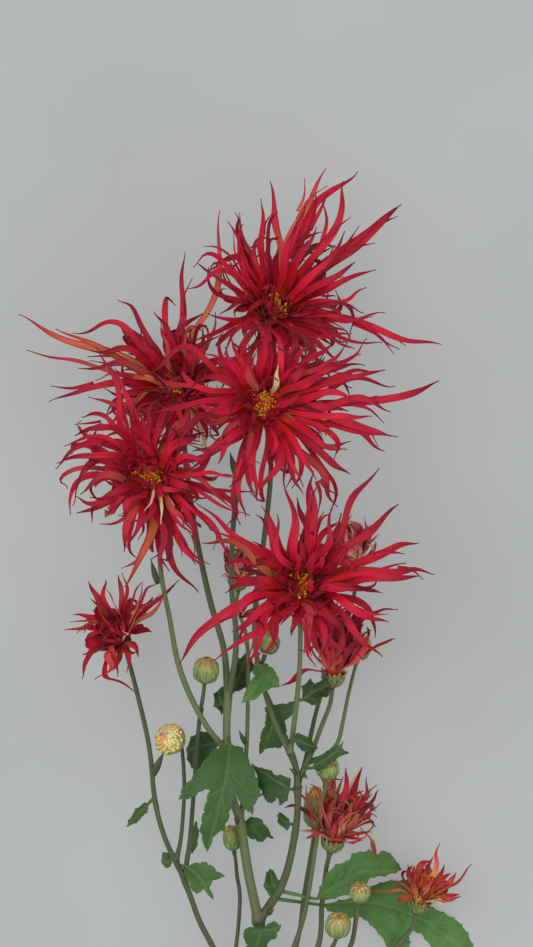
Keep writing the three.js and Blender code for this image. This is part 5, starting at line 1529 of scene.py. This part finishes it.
# The stem: ribbed round branches, swollen where they part and where leaves stand
def stem_of(material):
    piece = Piece("branched_stem")
    for number, (name, branch) in enumerate(BRANCHES.items()):
        add_branch(piece, name, branch, number)
    for base, tip, wide in STEM_BRACTS:
        add_stem_bract(piece, base, tip, wide)
    return piece.finish(material, "stem", "stem")


# Small bracts along the branches: base and tip as [across, down, height], and width in mm
STEM_BRACTS = [
    [(158, 584, 35), (151, 560, 37), 2.6], [(237, 478, 43), (230, 452, 46), 2.8],
    [(241, 470, 43.5), (249, 452, 46), 2.2], [(152, 777, 22), (164, 752, 25), 3.2],
    [(299, 775, 30), (289, 768, 33), 1.8], [(301, 772, 28), (308, 779, 31), 1.8],
    [(184, 432, 10), (178, 420, 13), 2.2], [(292, 745, 33), (285, 737, 36), 1.6],
    [(246, 745, 18.5), (239, 730, 21), 2.0], [(345, 622, 8), (352, 612, 10), 1.8],
    [(198, 722, 24), (204, 708, 26.5), 1.6], [(266, 915, 14.5), (274, 909, 18), 2.4],
    [(240, 824, 21), (234, 818, 24), 2.0],
]


def add_stem_bract(piece, base, tip, wide):
    start, end = seen(base[:2], base[2]), seen(tip[:2], tip[2])
    length = np.linalg.norm(end - start)
    middle = (start + end) / 2 + np.array([0, 0, 0.18 * length])
    way = Way([start, middle, end])
    t = np.linspace(0, 1, 10)
    up, across = carried(way, t, (0, 0, 1), 0.5 * t)
    widths = np.maximum(0.3, wide * np.sin(math.pi * (0.22 + 0.78 * t)))
    BRACT.build(piece, way.at(t), up, across, widths, 0.1 + 0.9 * t, 0.15, (0.0, 0, 0))


# Knots of the stem, across and down, and how strong each is
NODE_PLACES = [
    [[262, 1044], 1.0], [[262, 1020], 0.8], [[259, 917], 1.2], [[228, 745], 0.9], [[228, 702], 0.9],
    [[297, 785], 0.9], [[290, 752], 0.8], [[230, 815], 0.8], [[241, 824], 0.8], [[176, 861], 0.8],
    [[184, 879], 0.7], [[313, 757], 0.6], [[228, 978], 0.6], [[296, 992], 0.7], [[304, 968], 0.6],
    [[155, 800], 0.6], [[262, 672], 0.5], [[281, 889], 0.6], [[275, 899], 0.6], [[240, 820], 0.5],
    [[152, 562], 0.4], [[184, 430], 0.4], [[297, 826], 0.4], [[188, 852], 0.4],
]


BETWEEN_KNOTS = 0.82  # of the solid branch's width
KNOT, KNOT_REACH = 0.42, 2.6  # mm


def add_branch(piece, name, branch, number):
    way = branch_way(branch)
    count = max(8, int(way.length() / 1.6))
    t = np.linspace(0, 1, count + 1)
    up, across = carried(way, t, (0, 0, 1), 0 * t)
    middles = way.at(t)
    first, last = branch["wide"]
    radii = BETWEEN_KNOTS * (first + (last - first) * t) / 2
    for place, strength in NODE_PLACES:
        node = seen(place, 0)
        apart = np.linalg.norm((middles - node)[:, :2], axis=1)
        radii = radii + KNOT * strength * np.exp(-((apart / KNOT_REACH) ** 2)) * np.minimum(1, radii / 1.4)
    if name not in ("cutEnd", "main"):
        radii = radii + 0.5 * np.exp(-t * way.length() / 3.5)
    if "to" in branch:
        radii = radii + 0.35 * smooth_step(way.length() - 5, way.length(), t * way.length())
    random = seeded_numbers(330 + number)
    wobble = np.zeros(count + 1)
    for span in (5, 9, 17):
        swing = 0.12 * (random() - 0.5)
        wobble = wobble + swing * np.sin(t * way.length() / span + 6 * random())
    sides = 20
    turns = np.arange(sides) / sides * 2 * math.pi
    ribs = 1 + 0.045 * np.cos(5 * turns)[None] + 0.02 * np.cos(11 * turns + number)[None]
    rings_radii = (radii + wobble * np.minimum(1, radii / 1.5))[:, None] * ribs
    rings = middles[:, None] + across[:, None] * (np.cos(turns) * rings_radii)[..., None]
    rings = rings + up[:, None] * (np.sin(turns) * rings_radii)[..., None]
    rings[..., 2] = np.maximum(rings[..., 2], 0.0)
    along = np.broadcast_to((t * way.length() / 100)[:, None], rings.shape[:2])
    woody = np.broadcast_to((1 - smooth_step(-235, -150, middles[:, 1]))[:, None], rings.shape[:2])
    around = np.broadcast_to((turns / math.pi - 1)[None], rings.shape[:2])
    place = np.stack([along, around, np.full(rings.shape[:2], random())], axis=-1)
    mood = np.stack([woody, 0 * woody, np.full(rings.shape[:2], 0.0)], axis=-1)
    piece.add_rings(rings, place, mood)


# Leaves: a lobed blade with a folded middle rib, side veins to the lobes and puckers between them
def open_way(points, spacing, rounding=1.0):
    way = Way([[x, y, 0] for x, y in points])
    count = max(2, math.ceil(way.length() / spacing))
    t = np.arange(count + 1) / count
    straight = np.array(points, float)
    shares = np.linspace(0, 1, len(points))
    corners = np.stack([np.interp(t, shares, straight[:, k]) for k in (0, 1)], axis=1)
    return rounding * way.at(t)[:, :2] + (1 - rounding) * corners


TOOTH = (1.5, 0.2, -0.3, -0.5, -0.5, -0.3, -0.1)  # how far a tooth stands out, place by place along a margin


def fine_outline(leaf, seed):
    tip = leaf["rib"][-1]
    foot = leaf["rib"][0]
    spacing = 1.6
    left = open_way([foot, *leaf["left"], tip], spacing, 0.2)
    right = open_way([foot, *leaf["right"], tip], spacing, 0.2)
    outline = np.vstack([left, right[-2:0:-1]])
    random = seeded_numbers(seed)
    ahead = np.roll(outline, -1, axis=0) - np.roll(outline, 1, axis=0)
    normal = np.stack([ahead[:, 1], -ahead[:, 0]], axis=1)
    normal /= np.maximum(np.linalg.norm(normal, axis=1, keepdims=True), 1e-6)
    teeth = np.array([(random() - 0.5) * 0.7 + TOOTH[k % len(TOOTH)] for k in range(len(outline))])
    keep = np.minimum(1, np.linalg.norm(outline - foot, axis=1) / 8)
    keep *= np.minimum(1, np.linalg.norm(outline - tip, axis=1) / 5)
    return outline + normal * (teeth * keep * 0.8)[:, None]


def polyline_distance(points, line):
    best = np.full(len(points), np.inf)
    along = np.zeros(len(points))
    for k in range(len(line) - 1):
        start, step = line[k], line[k + 1] - line[k]
        share = np.clip(((points - start) @ step) / max(step @ step, 1e-9), 0, 1)
        apart = np.linalg.norm(points - start - share[:, None] * step, axis=1)
        nearer = apart < best
        best = np.where(nearer, apart, best)
        along = np.where(nearer, (k + share) / (len(line) - 1), along)
    return best, along


# Each side vein runs from the middle rib to a lobe: a place of an edge farther out than its neighbours
def side_veins(leaf):
    rib = open_way(leaf["rib"], 2)
    veins = []
    for edge in (leaf["left"], leaf["right"]):
        full = np.array([leaf["rib"][0], *edge, leaf["rib"][-1]], float)
        apart, along = polyline_distance(full, rib)
        for k in range(1, len(full) - 1):
            if apart[k] < 4.5 or apart[k] + 0.01 < max(apart[k - 1], apart[k + 1]):
                continue
            begins = rib[int(max(0, along[k] - 0.16) * (len(rib) - 1))]
            middle = begins + 0.55 * (full[k] - begins) + 0.06 * (rib[-1] - rib[0])
            veins.append(open_way([begins, middle, begins + 0.94 * (full[k] - begins)], 2))
    return rib, veins


def leaf_surface(leaf, shift, points, rib, veins):
    apart, along = polyline_distance(points, rib)
    foot, tip = leaf["heights"]
    flat = apart * MM_PER_UNIT
    sides = leaf["fold"] * np.minimum(np.sqrt(flat**2 + 0.3) - 0.5, FOLD_REACH)
    heights = foot + (tip - foot) * along + leaf["bow"] * 4 * along * (1 - along) + sides + shift
    vein = np.exp(-((flat / 0.42) ** 2))
    puckers = 1 - np.exp(-((flat / 1.6) ** 2))
    for line in veins:
        beside, share = polyline_distance(points, line)
        beside = beside * MM_PER_UNIT
        vein = np.maximum(vein, (0.85 - 0.5 * share) * np.exp(-((beside / (0.3 - 0.12 * share)) ** 2)))
        puckers = np.minimum(puckers, 1 - 0.85 * np.exp(-((beside / 1.3) ** 2)))
    ripple = 0.3 * np.sin(points[:, 0] * 0.21 + points[:, 1] * 0.13) * np.minimum(1, flat / 4)
    return np.maximum(heights + 0.5 * puckers - 0.22 * vein + ripple - 0.25, BLADE_REST), vein


def blade_points(leaf, seed):
    outline = fine_outline(leaf, seed)
    low, high = outline.min(axis=0), outline.max(axis=0)
    step = 2.0
    across = np.arange(low[0], high[0], step)
    down = np.arange(low[1], high[1], step * 0.866)
    grid = [[x + (step / 2 if row % 2 else 0), y] for row, y in enumerate(down) for x in across]
    inner = [point for point in grid if is_inside(outline.tolist(), point)]
    inner = np.array([p for p in inner if np.linalg.norm(outline - p, axis=1).min() > 0.9])
    places = np.vstack([outline, inner]) if len(inner) else outline
    coordinates = [Vector((x, y)) for x, y in places]
    made = geometry.delaunay_2d_cdt(coordinates, [], [list(range(len(outline)))], 1, 1e-4)
    return np.array([point[:] for point in made[0]]), [list(face) for face in made[2]]


def leaf_of(name, leaf, number, material):
    piece = Piece("blade_" + name)
    shift = leaf_shifts[name]
    points, faces = blade_points(leaf, 700 + number * 31)
    rib, veins = side_veins(leaf)
    heights, vein = leaf_surface(leaf, shift, points, rib, veins)
    upper = np.array([seen(point, height) for point, height in zip(points, heights)])
    lower = upper - [0, 0, BLADE_THICK]
    count = len(upper)
    up_faces, sides = [], {}
    for face in faces:
        a, b, c = face[:3]
        one, other = upper[b] - upper[a], upper[c] - upper[a]
        area = one[0] * other[1] - one[1] * other[0]
        face = face if area > 0 else face[::-1]
        up_faces.append(face)
        for start, end in zip(face, face[1:] + face[:1]):
            sides[(start, end)] = True
    rim = [pair for pair in sides if (pair[1], pair[0]) not in sides]
    every = up_faces + [[k + count for k in face[::-1]] for face in up_faces]
    every += [[end, start, start + count, end + count] for start, end in rim]
    _, along = polyline_distance(points, rib)
    random = seeded_numbers(710 + number)
    tone = random()
    edge = np.zeros(count)
    for start, end in rim:
        edge[start] = edge[end] = 1
    place = np.stack([along, vein, np.full(count, tone)], axis=1)
    mood_top = np.stack([np.zeros(count), edge, np.full(count, LEAF_TONE_AND_PAINTED_LIGHT.get(name, 0.5))], axis=1)
    mood_under = mood_top + [1, 0, 0]
    piece.add(np.vstack([upper, lower]), every, np.vstack([place, place]), np.vstack([mood_top, mood_under]))
    add_leaf_stalk(piece, leaf, shift, tone, LEAF_TONE_AND_PAINTED_LIGHT.get(name, 0.5))
    return piece.finish(material, "leaf", "leaf_" + name)


# How light each leaf is painted: partly its own tone, partly painted light and shade for the light that falls
# on it
LEAF_TONE_AND_PAINTED_LIGHT = {
    "bigMiddle": 0.42,
    "darkShoulder": 0.1,
    "lightFolded": 0.95,
    "darkUnder": 0.05,
    "broadUpright": 0.3,
    "darkBehind": 0.0,
    "rightDark": 0.05,
    "smallAtFork": 0.15,
    "lobedMiddle": 0.15,
    "twoPointed": 0.15,
    "lowForked": 0.4,
    "leftForked": 0.55,
    "leftCluster": 0.3,
    "uprightBlade": 0.45,
    "farLeft": 0.25,
    "belowMiddle": 0.35,
    "narrowLow": 0.4,
    "smallRight": 0.35,
    "hugeUpper": 0.75,
    "hugeLower": 1.0,
}


def add_leaf_stalk(piece, leaf, shift, tone, light):
    start = seen(leaf["from"], leaf["from"][2])
    foot = leaf["rib"][0]
    end = seen(foot, leaf_height(leaf, foot, shift))
    inside = seen(leaf["rib"][1], leaf_height(leaf, leaf["rib"][1], shift))
    into = end + 0.25 * (inside - end)
    points = np.array([start, (start + end) / 2, end, into])
    points[:, 2] = np.maximum(points[:, 2], 1.02)
    way = Way(points)
    t = np.linspace(0, 1, 12)
    up, across = carried(way, t, (0, 0, 1), 0 * t)
    turns = np.arange(10) / 10 * 2 * math.pi
    radii = (0.85 - 0.35 * t)[:, None] * (1 - 0.25 * np.maximum(0, np.sin(turns)) ** 3)[None]
    rings = way.at(t)[:, None] + across[:, None] * (np.cos(turns) * radii)[..., None]
    rings = rings + up[:, None] * (np.sin(turns) * radii)[..., None] - [0, 0, 0.25]
    rings[..., 2] = np.maximum(rings[..., 2], 0.02)
    number = rings.shape[0] * rings.shape[1]
    piece.add_rings(rings, np.tile([0, 0.7, tone], (number, 1)), np.tile([0, 0, light], (number, 1)))


# Materials
def linear(value):
    return value / 255 / 12.92 if value <= 10 else ((value / 255 + 0.055) / 1.055) ** 2.4


def srgb(red, green, blue):
    return (linear(red), linear(green), linear(blue), 1.0)


class Paint:
    def __init__(self, name, roughness=0.5, sheen=0.0, through=0.0):
        self.material = bpy.data.materials.new(name)
        self.material.use_nodes = True
        self.nodes = self.material.node_tree.nodes
        self.links = self.material.node_tree.links
        self.shader = self.nodes["Principled BSDF"]
        self.shader.inputs["Roughness"].default_value = roughness
        self.shader.inputs["Sheen Weight"].default_value = sheen
        self.shader.inputs["Subsurface Weight"].default_value = through
        self.shader.inputs["Subsurface Radius"].default_value = (0.0012, 0.0006, 0.0004)
        self.shader.inputs["Subsurface Scale"].default_value = 1.0

    def node(self, kind, **settings):
        made = self.nodes.new(kind)
        for key, value in settings.items():
            setattr(made, key, value)
        return made

    def connect(self, source, target):
        self.links.new(source, target)

    def marks(self, label):
        attribute = self.node("ShaderNodeAttribute", attribute_name=label)
        parts = self.node("ShaderNodeSeparateXYZ")
        self.connect(attribute.outputs["Vector"], parts.inputs[0])
        return parts.outputs[0], parts.outputs[1], parts.outputs[2]

    def value(self, operation, first, second=None, third=None, clamp=False):
        made = self.node("ShaderNodeMath", operation=operation, use_clamp=clamp)
        for socket, given in zip(made.inputs, (first, second, third)):
            if given is None:
                continue
            if isinstance(given, (int, float)):
                socket.default_value = given
            else:
                self.connect(given, socket)
        return made.outputs[0]

    def range(self, source, low, high, to_low=0.0, to_high=1.0):
        made = self.node("ShaderNodeMapRange", interpolation_type="SMOOTHSTEP")
        self.connect(source, made.inputs["Value"])
        for label, number in (("From Min", low), ("From Max", high), ("To Min", to_low), ("To Max", to_high)):
            made.inputs[label].default_value = number
        return made.outputs["Result"]

    # Colours along a value, each as its place and its red, green and blue
    def blend(self, source, stops):
        return self.ramp(source, *[(place, srgb(*colour)) for place, *colour in stops])

    def ramp(self, source, *stops):
        made = self.node("ShaderNodeValToRGB")
        band = made.color_ramp
        while len(band.elements) < len(stops):
            band.elements.new(0.5)
        for element, (position, colour) in zip(band.elements, stops):
            element.position = position
            element.color = colour
        self.connect(source, made.inputs[0])
        return made.outputs[0]

    def mix(self, factor, first, second, blend="MIX"):
        made = self.node("ShaderNodeMix", data_type="RGBA", blend_type=blend)
        sockets = {"factor": made.inputs[0], "first": made.inputs[6], "second": made.inputs[7]}
        for label, given in (("factor", factor), ("first", first), ("second", second)):
            if isinstance(given, (int, float, tuple)):
                sockets[label].default_value = given
            else:
                self.connect(given, sockets[label])
        return made.outputs[2]

    def vector(self, x, y, z):
        made = self.node("ShaderNodeCombineXYZ")
        for socket, given in zip(made.inputs, (x, y, z)):
            if isinstance(given, (int, float)):
                socket.default_value = given
            else:
                self.connect(given, socket)
        return made.outputs[0]

    # A place for a pattern from three marks, each multiplied
    def stretched(self, *marks):
        return self.vector(*[self.value("MULTIPLY", mark, times) for mark, times in marks])

    def brightened(self, colour, light):
        return self.mix(1.0, colour, self.vector(light, light, light), "MULTIPLY")

    def noise(self, where, scale, detail=3.0, roughness=0.55):
        made = self.node("ShaderNodeTexNoise")
        made.inputs["Scale"].default_value = scale
        made.inputs["Detail"].default_value = detail
        made.inputs["Roughness"].default_value = roughness
        self.connect(where, made.inputs["Vector"])
        return made.outputs["Fac"]

    def object_place(self):
        return self.node("ShaderNodeTexCoord").outputs["Object"]

    def bump(self, height, strength, distance):
        made = self.node("ShaderNodeBump")
        made.inputs["Strength"].default_value = strength
        made.inputs["Distance"].default_value = distance
        self.connect(height, made.inputs["Height"])
        self.connect(made.outputs[0], self.shader.inputs["Normal"])

    def colour(self, source):
        self.connect(source, self.shader.inputs["Base Color"])


# A floret's face, from its root to its tip; its reverse; and what it dries to
FLORET_COLOURS = {
    "rays": {
        "face": [(0.0, 244, 138, 8), (0.1, 232, 62, 18), (0.22, 204, 14, 34),
                 (0.55, 204, 18, 52), (0.82, 168, 10, 46), (1.0, 84, 2, 26)],
        "under": [(0.0, 222, 150, 92), (0.3, 212, 90, 76), (0.65, 200, 48, 62), (1.0, 112, 10, 34)],
        "reverse": [(0.0, 206, 150, 70), (0.4, 206, 118, 66), (0.78, 192, 66, 56), (1.0, 116, 12, 26)],
        "margin": srgb(176, 12, 38),
        "dark": srgb(118, 4, 32),
    },
    "orangeRays": {
        "face": [(0.0, 246, 196, 66), (0.36, 240, 158, 54), (0.6, 226, 92, 54),
                 (0.8, 200, 40, 60), (1.0, 150, 24, 46)],
        "under": [(0.0, 230, 180, 90), (0.4, 222, 120, 70), (0.75, 200, 70, 60), (1.0, 140, 40, 40)],
        "reverse": [(0.0, 206, 170, 90), (0.5, 206, 128, 66), (1.0, 150, 60, 44)],
        "margin": srgb(186, 60, 44),
        "dark": srgb(120, 34, 36),
    },
    "wiltedRays": {
        "face": [(0.0, 214, 150, 90), (0.3, 190, 44, 78), (0.7, 206, 70, 96), (1.0, 222, 150, 120)],
        "under": [(0.0, 224, 190, 130), (0.5, 224, 120, 120), (1.0, 214, 150, 110)],
        "reverse": [(0.0, 230, 196, 140), (0.6, 240, 204, 160), (1.0, 200, 150, 104)],
        "margin": srgb(190, 84, 88),
        "dark": srgb(132, 42, 60),
    },
}


def floret_paint(name):
    colours = FLORET_COLOURS[name]
    paint = Paint("floret_" + name, roughness=0.5, sheen=0.12, through=0.14)
    paint.shader.inputs["Specular IOR Level"].default_value = 0.25
    paint.shader.inputs["Sheen Tint"].default_value = srgb(255, 150, 165)
    along, across, tone = paint.marks("place")
    reverse, dry, dark = paint.marks("mood")
    face = paint.blend(along, colours["face"])
    back = paint.blend(along, colours["reverse"])
    rim = paint.range(paint.value("ABSOLUTE", across), 0.5, 0.95)
    back = paint.mix(rim, back, colours["margin"])
    half_rim = paint.value("MULTIPLY", rim, 0.6)
    under = paint.mix(half_rim, paint.blend(along, colours["under"]), colours["margin"])
    colour = paint.mix(paint.range(reverse, 0.15, 0.35), face, under)
    colour = paint.mix(paint.range(reverse, 0.6, 0.85), colour, back)
    streaks = paint.noise(paint.stretched((across, 3.2), (along, 1.1), (tone, 47.0)), 2.4, 4.0, 0.6)
    colour = paint.mix(paint.range(streaks, 0.35, 0.75, 0.0, 0.45), colour, colours["dark"])
    colour = paint.mix(paint.range(dark, 0.0, 1.0, 0.0, 0.85), colour, colours["dark"])
    bright = paint.range(tone, 0.0, 1.0, 0.78, 1.22)
    patches = paint.range(paint.noise(paint.object_place(), 90.0, 2.0), 0.3, 0.7, 0.88, 1.1)
    light = paint.value("MULTIPLY", bright, patches)
    colour = paint.brightened(colour, light)
    # Dried colour: real on dried and wilted florets, partly painted highlight where it pales rightSmall
    dried_and_highlight_colour = paint.ramp(streaks, (0.3, srgb(196, 150, 96)), (0.6, srgb(232, 208, 160)))
    colour = paint.mix(paint.range(dry, 0.05, 0.9), colour, dried_and_highlight_colour)
    paint.colour(colour)
    rough = paint.range(streaks, 0.3, 0.8, 0.42, 0.62)
    paint.connect(rough, paint.shader.inputs["Roughness"])
    ribs = paint.value("SINE", paint.value("MULTIPLY", across, 22.0))
    relief = paint.value("ADD", paint.value("MULTIPLY", ribs, 0.5), paint.value("MULTIPLY", streaks, 1.4))
    paint.bump(relief, 0.35, 0.0002)
    return paint.material


def disc_paint():
    paint = Paint("disc_florets", roughness=0.55, through=0.1)
    along, _, tone = paint.marks("place")
    # Dark red-brown low on the tube florets and on the button: partly their colour, partly painted shade in
    # the depth of the disc
    colour = paint.ramp(along, (0.0, srgb(190, 60, 10)), (0.45, srgb(230, 116, 8)), (0.8, srgb(244, 158, 8)),
                        (1.0, srgb(252, 192, 30)))
    warm = paint.mix(paint.range(tone, 0.3, 1.0, 0.0, 0.7), colour, srgb(226, 92, 8))
    grain = paint.noise(paint.object_place(), 2600.0, 2.0)
    paint.colour(paint.mix(paint.range(grain, 0.4, 0.8, 0.0, 0.25), warm, srgb(140, 60, 20)))
    paint.bump(grain, 0.4, 0.0002)
    return paint.material


def green_paint():
    paint = Paint("cup_bracts", roughness=0.55, through=0.05)
    along, across, tone = paint.marks("place")
    base = paint.ramp(along, (0.0, srgb(74, 92, 48)), (0.6, srgb(104, 124, 62)), (1.0, srgb(146, 140, 82)))
    rim = paint.range(paint.value("ABSOLUTE", across), 0.55, 0.95, 0.0, 0.75)
    colour = paint.mix(rim, base, srgb(176, 168, 118))
    grain = paint.noise(paint.object_place(), 900.0, 4.0)
    colour = paint.mix(paint.range(grain, 0.35, 0.75, 0.0, 0.35), colour, srgb(66, 78, 40))
    light = paint.range(tone, 0.0, 1.0, 0.82, 1.15)
    paint.colour(paint.brightened(colour, light))
    paint.bump(grain, 0.35, 0.0003)
    return paint.material


# Young florets of the bud that opens, from the root to the tip
YOUNG_CREAM = [(0.0, 186, 184, 96), (0.08, 226, 206, 128), (0.15, 242, 222, 184), (0.19, 222, 158, 132)]
YOUNG_GOLDEN = [(0.0, 180, 180, 78), (0.12, 222, 190, 84), (0.19, 208, 142, 84)]


# Bracts of a bud: green with a yellow-green flank and brown, papery margins; the crown's florets show through
def bud_paint():
    paint = Paint("bud_bracts", roughness=0.5, through=0.08)
    along, across, tone = paint.marks("place")
    tuft, ripe, floret = paint.marks("mood")
    base = paint.ramp(along, (0.0, srgb(84, 108, 54)), (0.35, srgb(118, 142, 72)), (0.7, srgb(158, 164, 96)),
                      (1.0, srgb(184, 158, 98)))
    middle = paint.range(paint.value("ABSOLUTE", across), 0.0, 0.35, 1.0, 0.0)
    colour = paint.mix(paint.value("MULTIPLY", middle, 0.6), base, srgb(74, 98, 48))
    rim = paint.range(paint.value("ABSOLUTE", across), 0.6, 0.98, 0.0, 0.8)
    colour = paint.mix(rim, colour, srgb(206, 196, 140))
    crown = paint.range(along, 0.55, 0.98, 0.0, 1.0)
    warm = paint.mix(tuft, srgb(150, 108, 62), srgb(206, 130, 66))
    colour = paint.mix(paint.value("MULTIPLY", crown, paint.value("MULTIPLY", ripe, 0.8)), colour, warm)
    young = paint.mix(paint.range(tone, 0.3, 0.95), srgb(232, 212, 132), srgb(220, 150, 58))
    young = paint.mix(paint.range(along, 0.12, 0.2, 0.0, 0.3), young, srgb(182, 64, 40))
    cream = paint.blend(along, YOUNG_CREAM)
    golden = paint.blend(along, YOUNG_GOLDEN)
    cream = paint.mix(paint.range(tone, 0.45, 0.7), cream, golden)
    cream = paint.mix(paint.range(tone, 0.9, 0.99, 0.0, 0.6), cream, srgb(198, 88, 78))
    young = paint.mix(paint.range(tuft, 1.0, 1.4), young, cream)
    colour = paint.mix(paint.range(floret, 0.6, 0.9), colour, young)
    grain = paint.noise(paint.object_place(), 1100.0, 4.0)
    colour = paint.mix(paint.range(grain, 0.4, 0.8, 0.0, 0.3), colour, srgb(84, 78, 44))
    light = paint.range(tone, 0.0, 1.0, 0.86, 1.12)
    paint.colour(paint.brightened(colour, light))
    paint.bump(grain, 0.3, 0.0003)
    return paint.material


def leaf_paint():
    paint = Paint("leaf_green", roughness=0.5, sheen=0.06, through=0.08)
    paint.shader.inputs["Specular IOR Level"].default_value = 0.32
    _, vein, _ = paint.marks("place")
    under, edge, light = paint.marks("mood")
    # Each leaf's lightness mark mixes dark and light green: partly its own tone, partly painted light and
    # shade
    upper = paint.mix(light, srgb(28, 54, 20), srgb(80, 126, 58))
    where = paint.object_place()
    blotch = paint.noise(where, 160.0, 4.0)
    upper = paint.mix(paint.range(blotch, 0.35, 0.7, 0.0, 0.45), upper, srgb(48, 84, 30))
    fine = paint.noise(where, 1400.0, 4.0)
    upper = paint.mix(paint.range(fine, 0.4, 0.75, 0.0, 0.3), upper, srgb(28, 46, 24))
    upper = paint.mix(paint.value("MULTIPLY", vein, 0.38), upper, srgb(110, 138, 82))
    lower = paint.mix(paint.value("MULTIPLY", vein, 0.7), srgb(84, 108, 70), srgb(136, 156, 106))
    lower = paint.mix(paint.range(fine, 0.4, 0.75, 0.0, 0.3), lower, srgb(62, 84, 52))
    colour = paint.mix(paint.range(under, 0.4, 0.6), upper, lower)
    colour = paint.mix(paint.value("MULTIPLY", edge, 0.3), colour, srgb(96, 116, 62))
    paint.colour(colour)
    relief = paint.value("SUBTRACT", fine, paint.value("MULTIPLY", vein, 0.6))
    paint.bump(relief, 0.45, 0.0004)
    return paint.material


def stem_paint():
    paint = Paint("stem_green", roughness=0.5, through=0.04)
    along, around, tone = paint.marks("place")
    woody, _, _ = paint.marks("mood")
    fibres = paint.noise(paint.stretched((along, 3.0), (around, 9.0), (tone, 31.0)), 3.0, 5.0, 0.65)
    green = paint.mix(paint.range(tone, 0.0, 1.0), srgb(54, 68, 36), srgb(94, 108, 64))
    green = paint.mix(paint.range(fibres, 0.4, 0.7, 0.0, 0.6), green, srgb(112, 122, 80))
    bark = paint.mix(paint.range(fibres, 0.3, 0.75), srgb(66, 60, 38), srgb(98, 92, 62))
    colour = paint.mix(woody, green, bark)
    specks = paint.noise(paint.object_place(), 700.0, 3.0)
    colour = paint.mix(paint.range(specks, 0.55, 0.8, 0.0, 0.5), colour, srgb(66, 58, 38))
    paint.colour(colour)
    relief = paint.value("ADD", fibres, paint.value("MULTIPLY", specks, 0.4))
    paint.bump(relief, 0.5, 0.0005)
    return paint.material


def floor_paint():
    paint = Paint("pale_table", roughness=0.85)
    where = paint.object_place()
    # Large soft blotches in the table's colour and glow: painted light and shade
    light_and_shade_blotches = paint.noise(where, 5.0, 3.0)
    paint.colour(paint.ramp(light_and_shade_blotches, (0.3, srgb(110, 112, 112)), (0.7, srgb(118, 120, 120))))
    # The table glows: painted light over a darker base colour, which lifts the shadows cast on it
    painted_glow = paint.ramp(light_and_shade_blotches, (0.3, srgb(135, 137, 137)), (0.7, srgb(143, 145, 145)))
    paint.connect(painted_glow, paint.shader.inputs["Emission Color"])
    paint.shader.inputs["Emission Strength"].default_value = 1.0
    paint.bump(paint.noise(where, 900.0, 3.0), 0.05, 0.0002)
    return paint.material


# The whole part

paints = {name: floret_paint(name) for name in FLORET_COLOURS}
stem_of(stem_paint())
leaf_material = leaf_paint()
for number, (name, leaf) in enumerate(LEAVES.items()):
    leaf_of(name, leaf, number, leaf_material)
bud_material = bud_paint()
for name, bud in BUDS.items():
    bud_of(name, bud, bud_material)
cup_material = green_paint()
disc_material = disc_paint()
for order, head in enumerate(heads.values()):
    head.fine = fine_rays(head, order)
for order, head in enumerate(heads.values()):
    head.filling = filling_rays(head, order)
    petals_of(head, order, paints[head.bloom["colour"]])
    calyx_of(head, cup_material)
    if head.bloom.get("open"):
        disc_of(head, disc_material)

# The table, the light and the eye over them
TABLE_SIDE = 3.2  # m


def table():
    half = TABLE_SIDE / 2
    mesh = bpy.data.meshes.new("table")
    corners = [(-half, -half, 0), (half, -half, 0), (half, half, 0), (-half, half, 0)]
    mesh.from_pydata(corners, [], [(0, 1, 2, 3)])
    made = bpy.data.objects.new("table", mesh)
    mesh.materials.append(floor_paint())
    bpy.context.collection.objects.link(made)


def area_light(name, place, aim, size, power):
    light = bpy.data.lights.new(name, "AREA")
    light.shape = "DISK"
    light.size = size
    light.energy = power
    made = bpy.data.objects.new(name, light)
    made.location = place
    made.rotation_euler = (Vector(aim) - Vector(place)).to_track_quat("-Z", "Y").to_euler()
    bpy.context.collection.objects.link(made)


def camera():
    lens = bpy.data.cameras.new("eye")
    lens.sensor_fit = "VERTICAL"
    lens.sensor_height = 24
    seen_high = PICTURE[1] * MM_PER_UNIT
    lens.lens = lens.sensor_height * EYE_HEIGHT / seen_high
    lens.clip_end = 10
    made = bpy.data.objects.new("eye", lens)
    made.location = (SHIFT[0] * METRES, SHIFT[1] * METRES, EYE_HEIGHT * METRES)
    bpy.context.collection.objects.link(made)
    bpy.context.scene.camera = made


KEY_POWER, FILL_POWER = 40, 14  # W
SKY_STRENGTH = 0.54

table()
camera()
area_light("key", (-1.0, 0.6, 2.4), (0, 0, 0), 2.6, KEY_POWER)
area_light("fill", (1.3, -0.9, 1.8), (0, 0, 0), 2.2, FILL_POWER)
world = bpy.data.worlds.new("room")
world.use_nodes = True
sky = world.node_tree.nodes["Background"]
sky.inputs["Color"].default_value = (1, 1, 1, 1)
sky.inputs["Strength"].default_value = SKY_STRENGTH
bpy.context.scene.world = world
bpy.context.scene.view_settings.view_transform = "Standard"
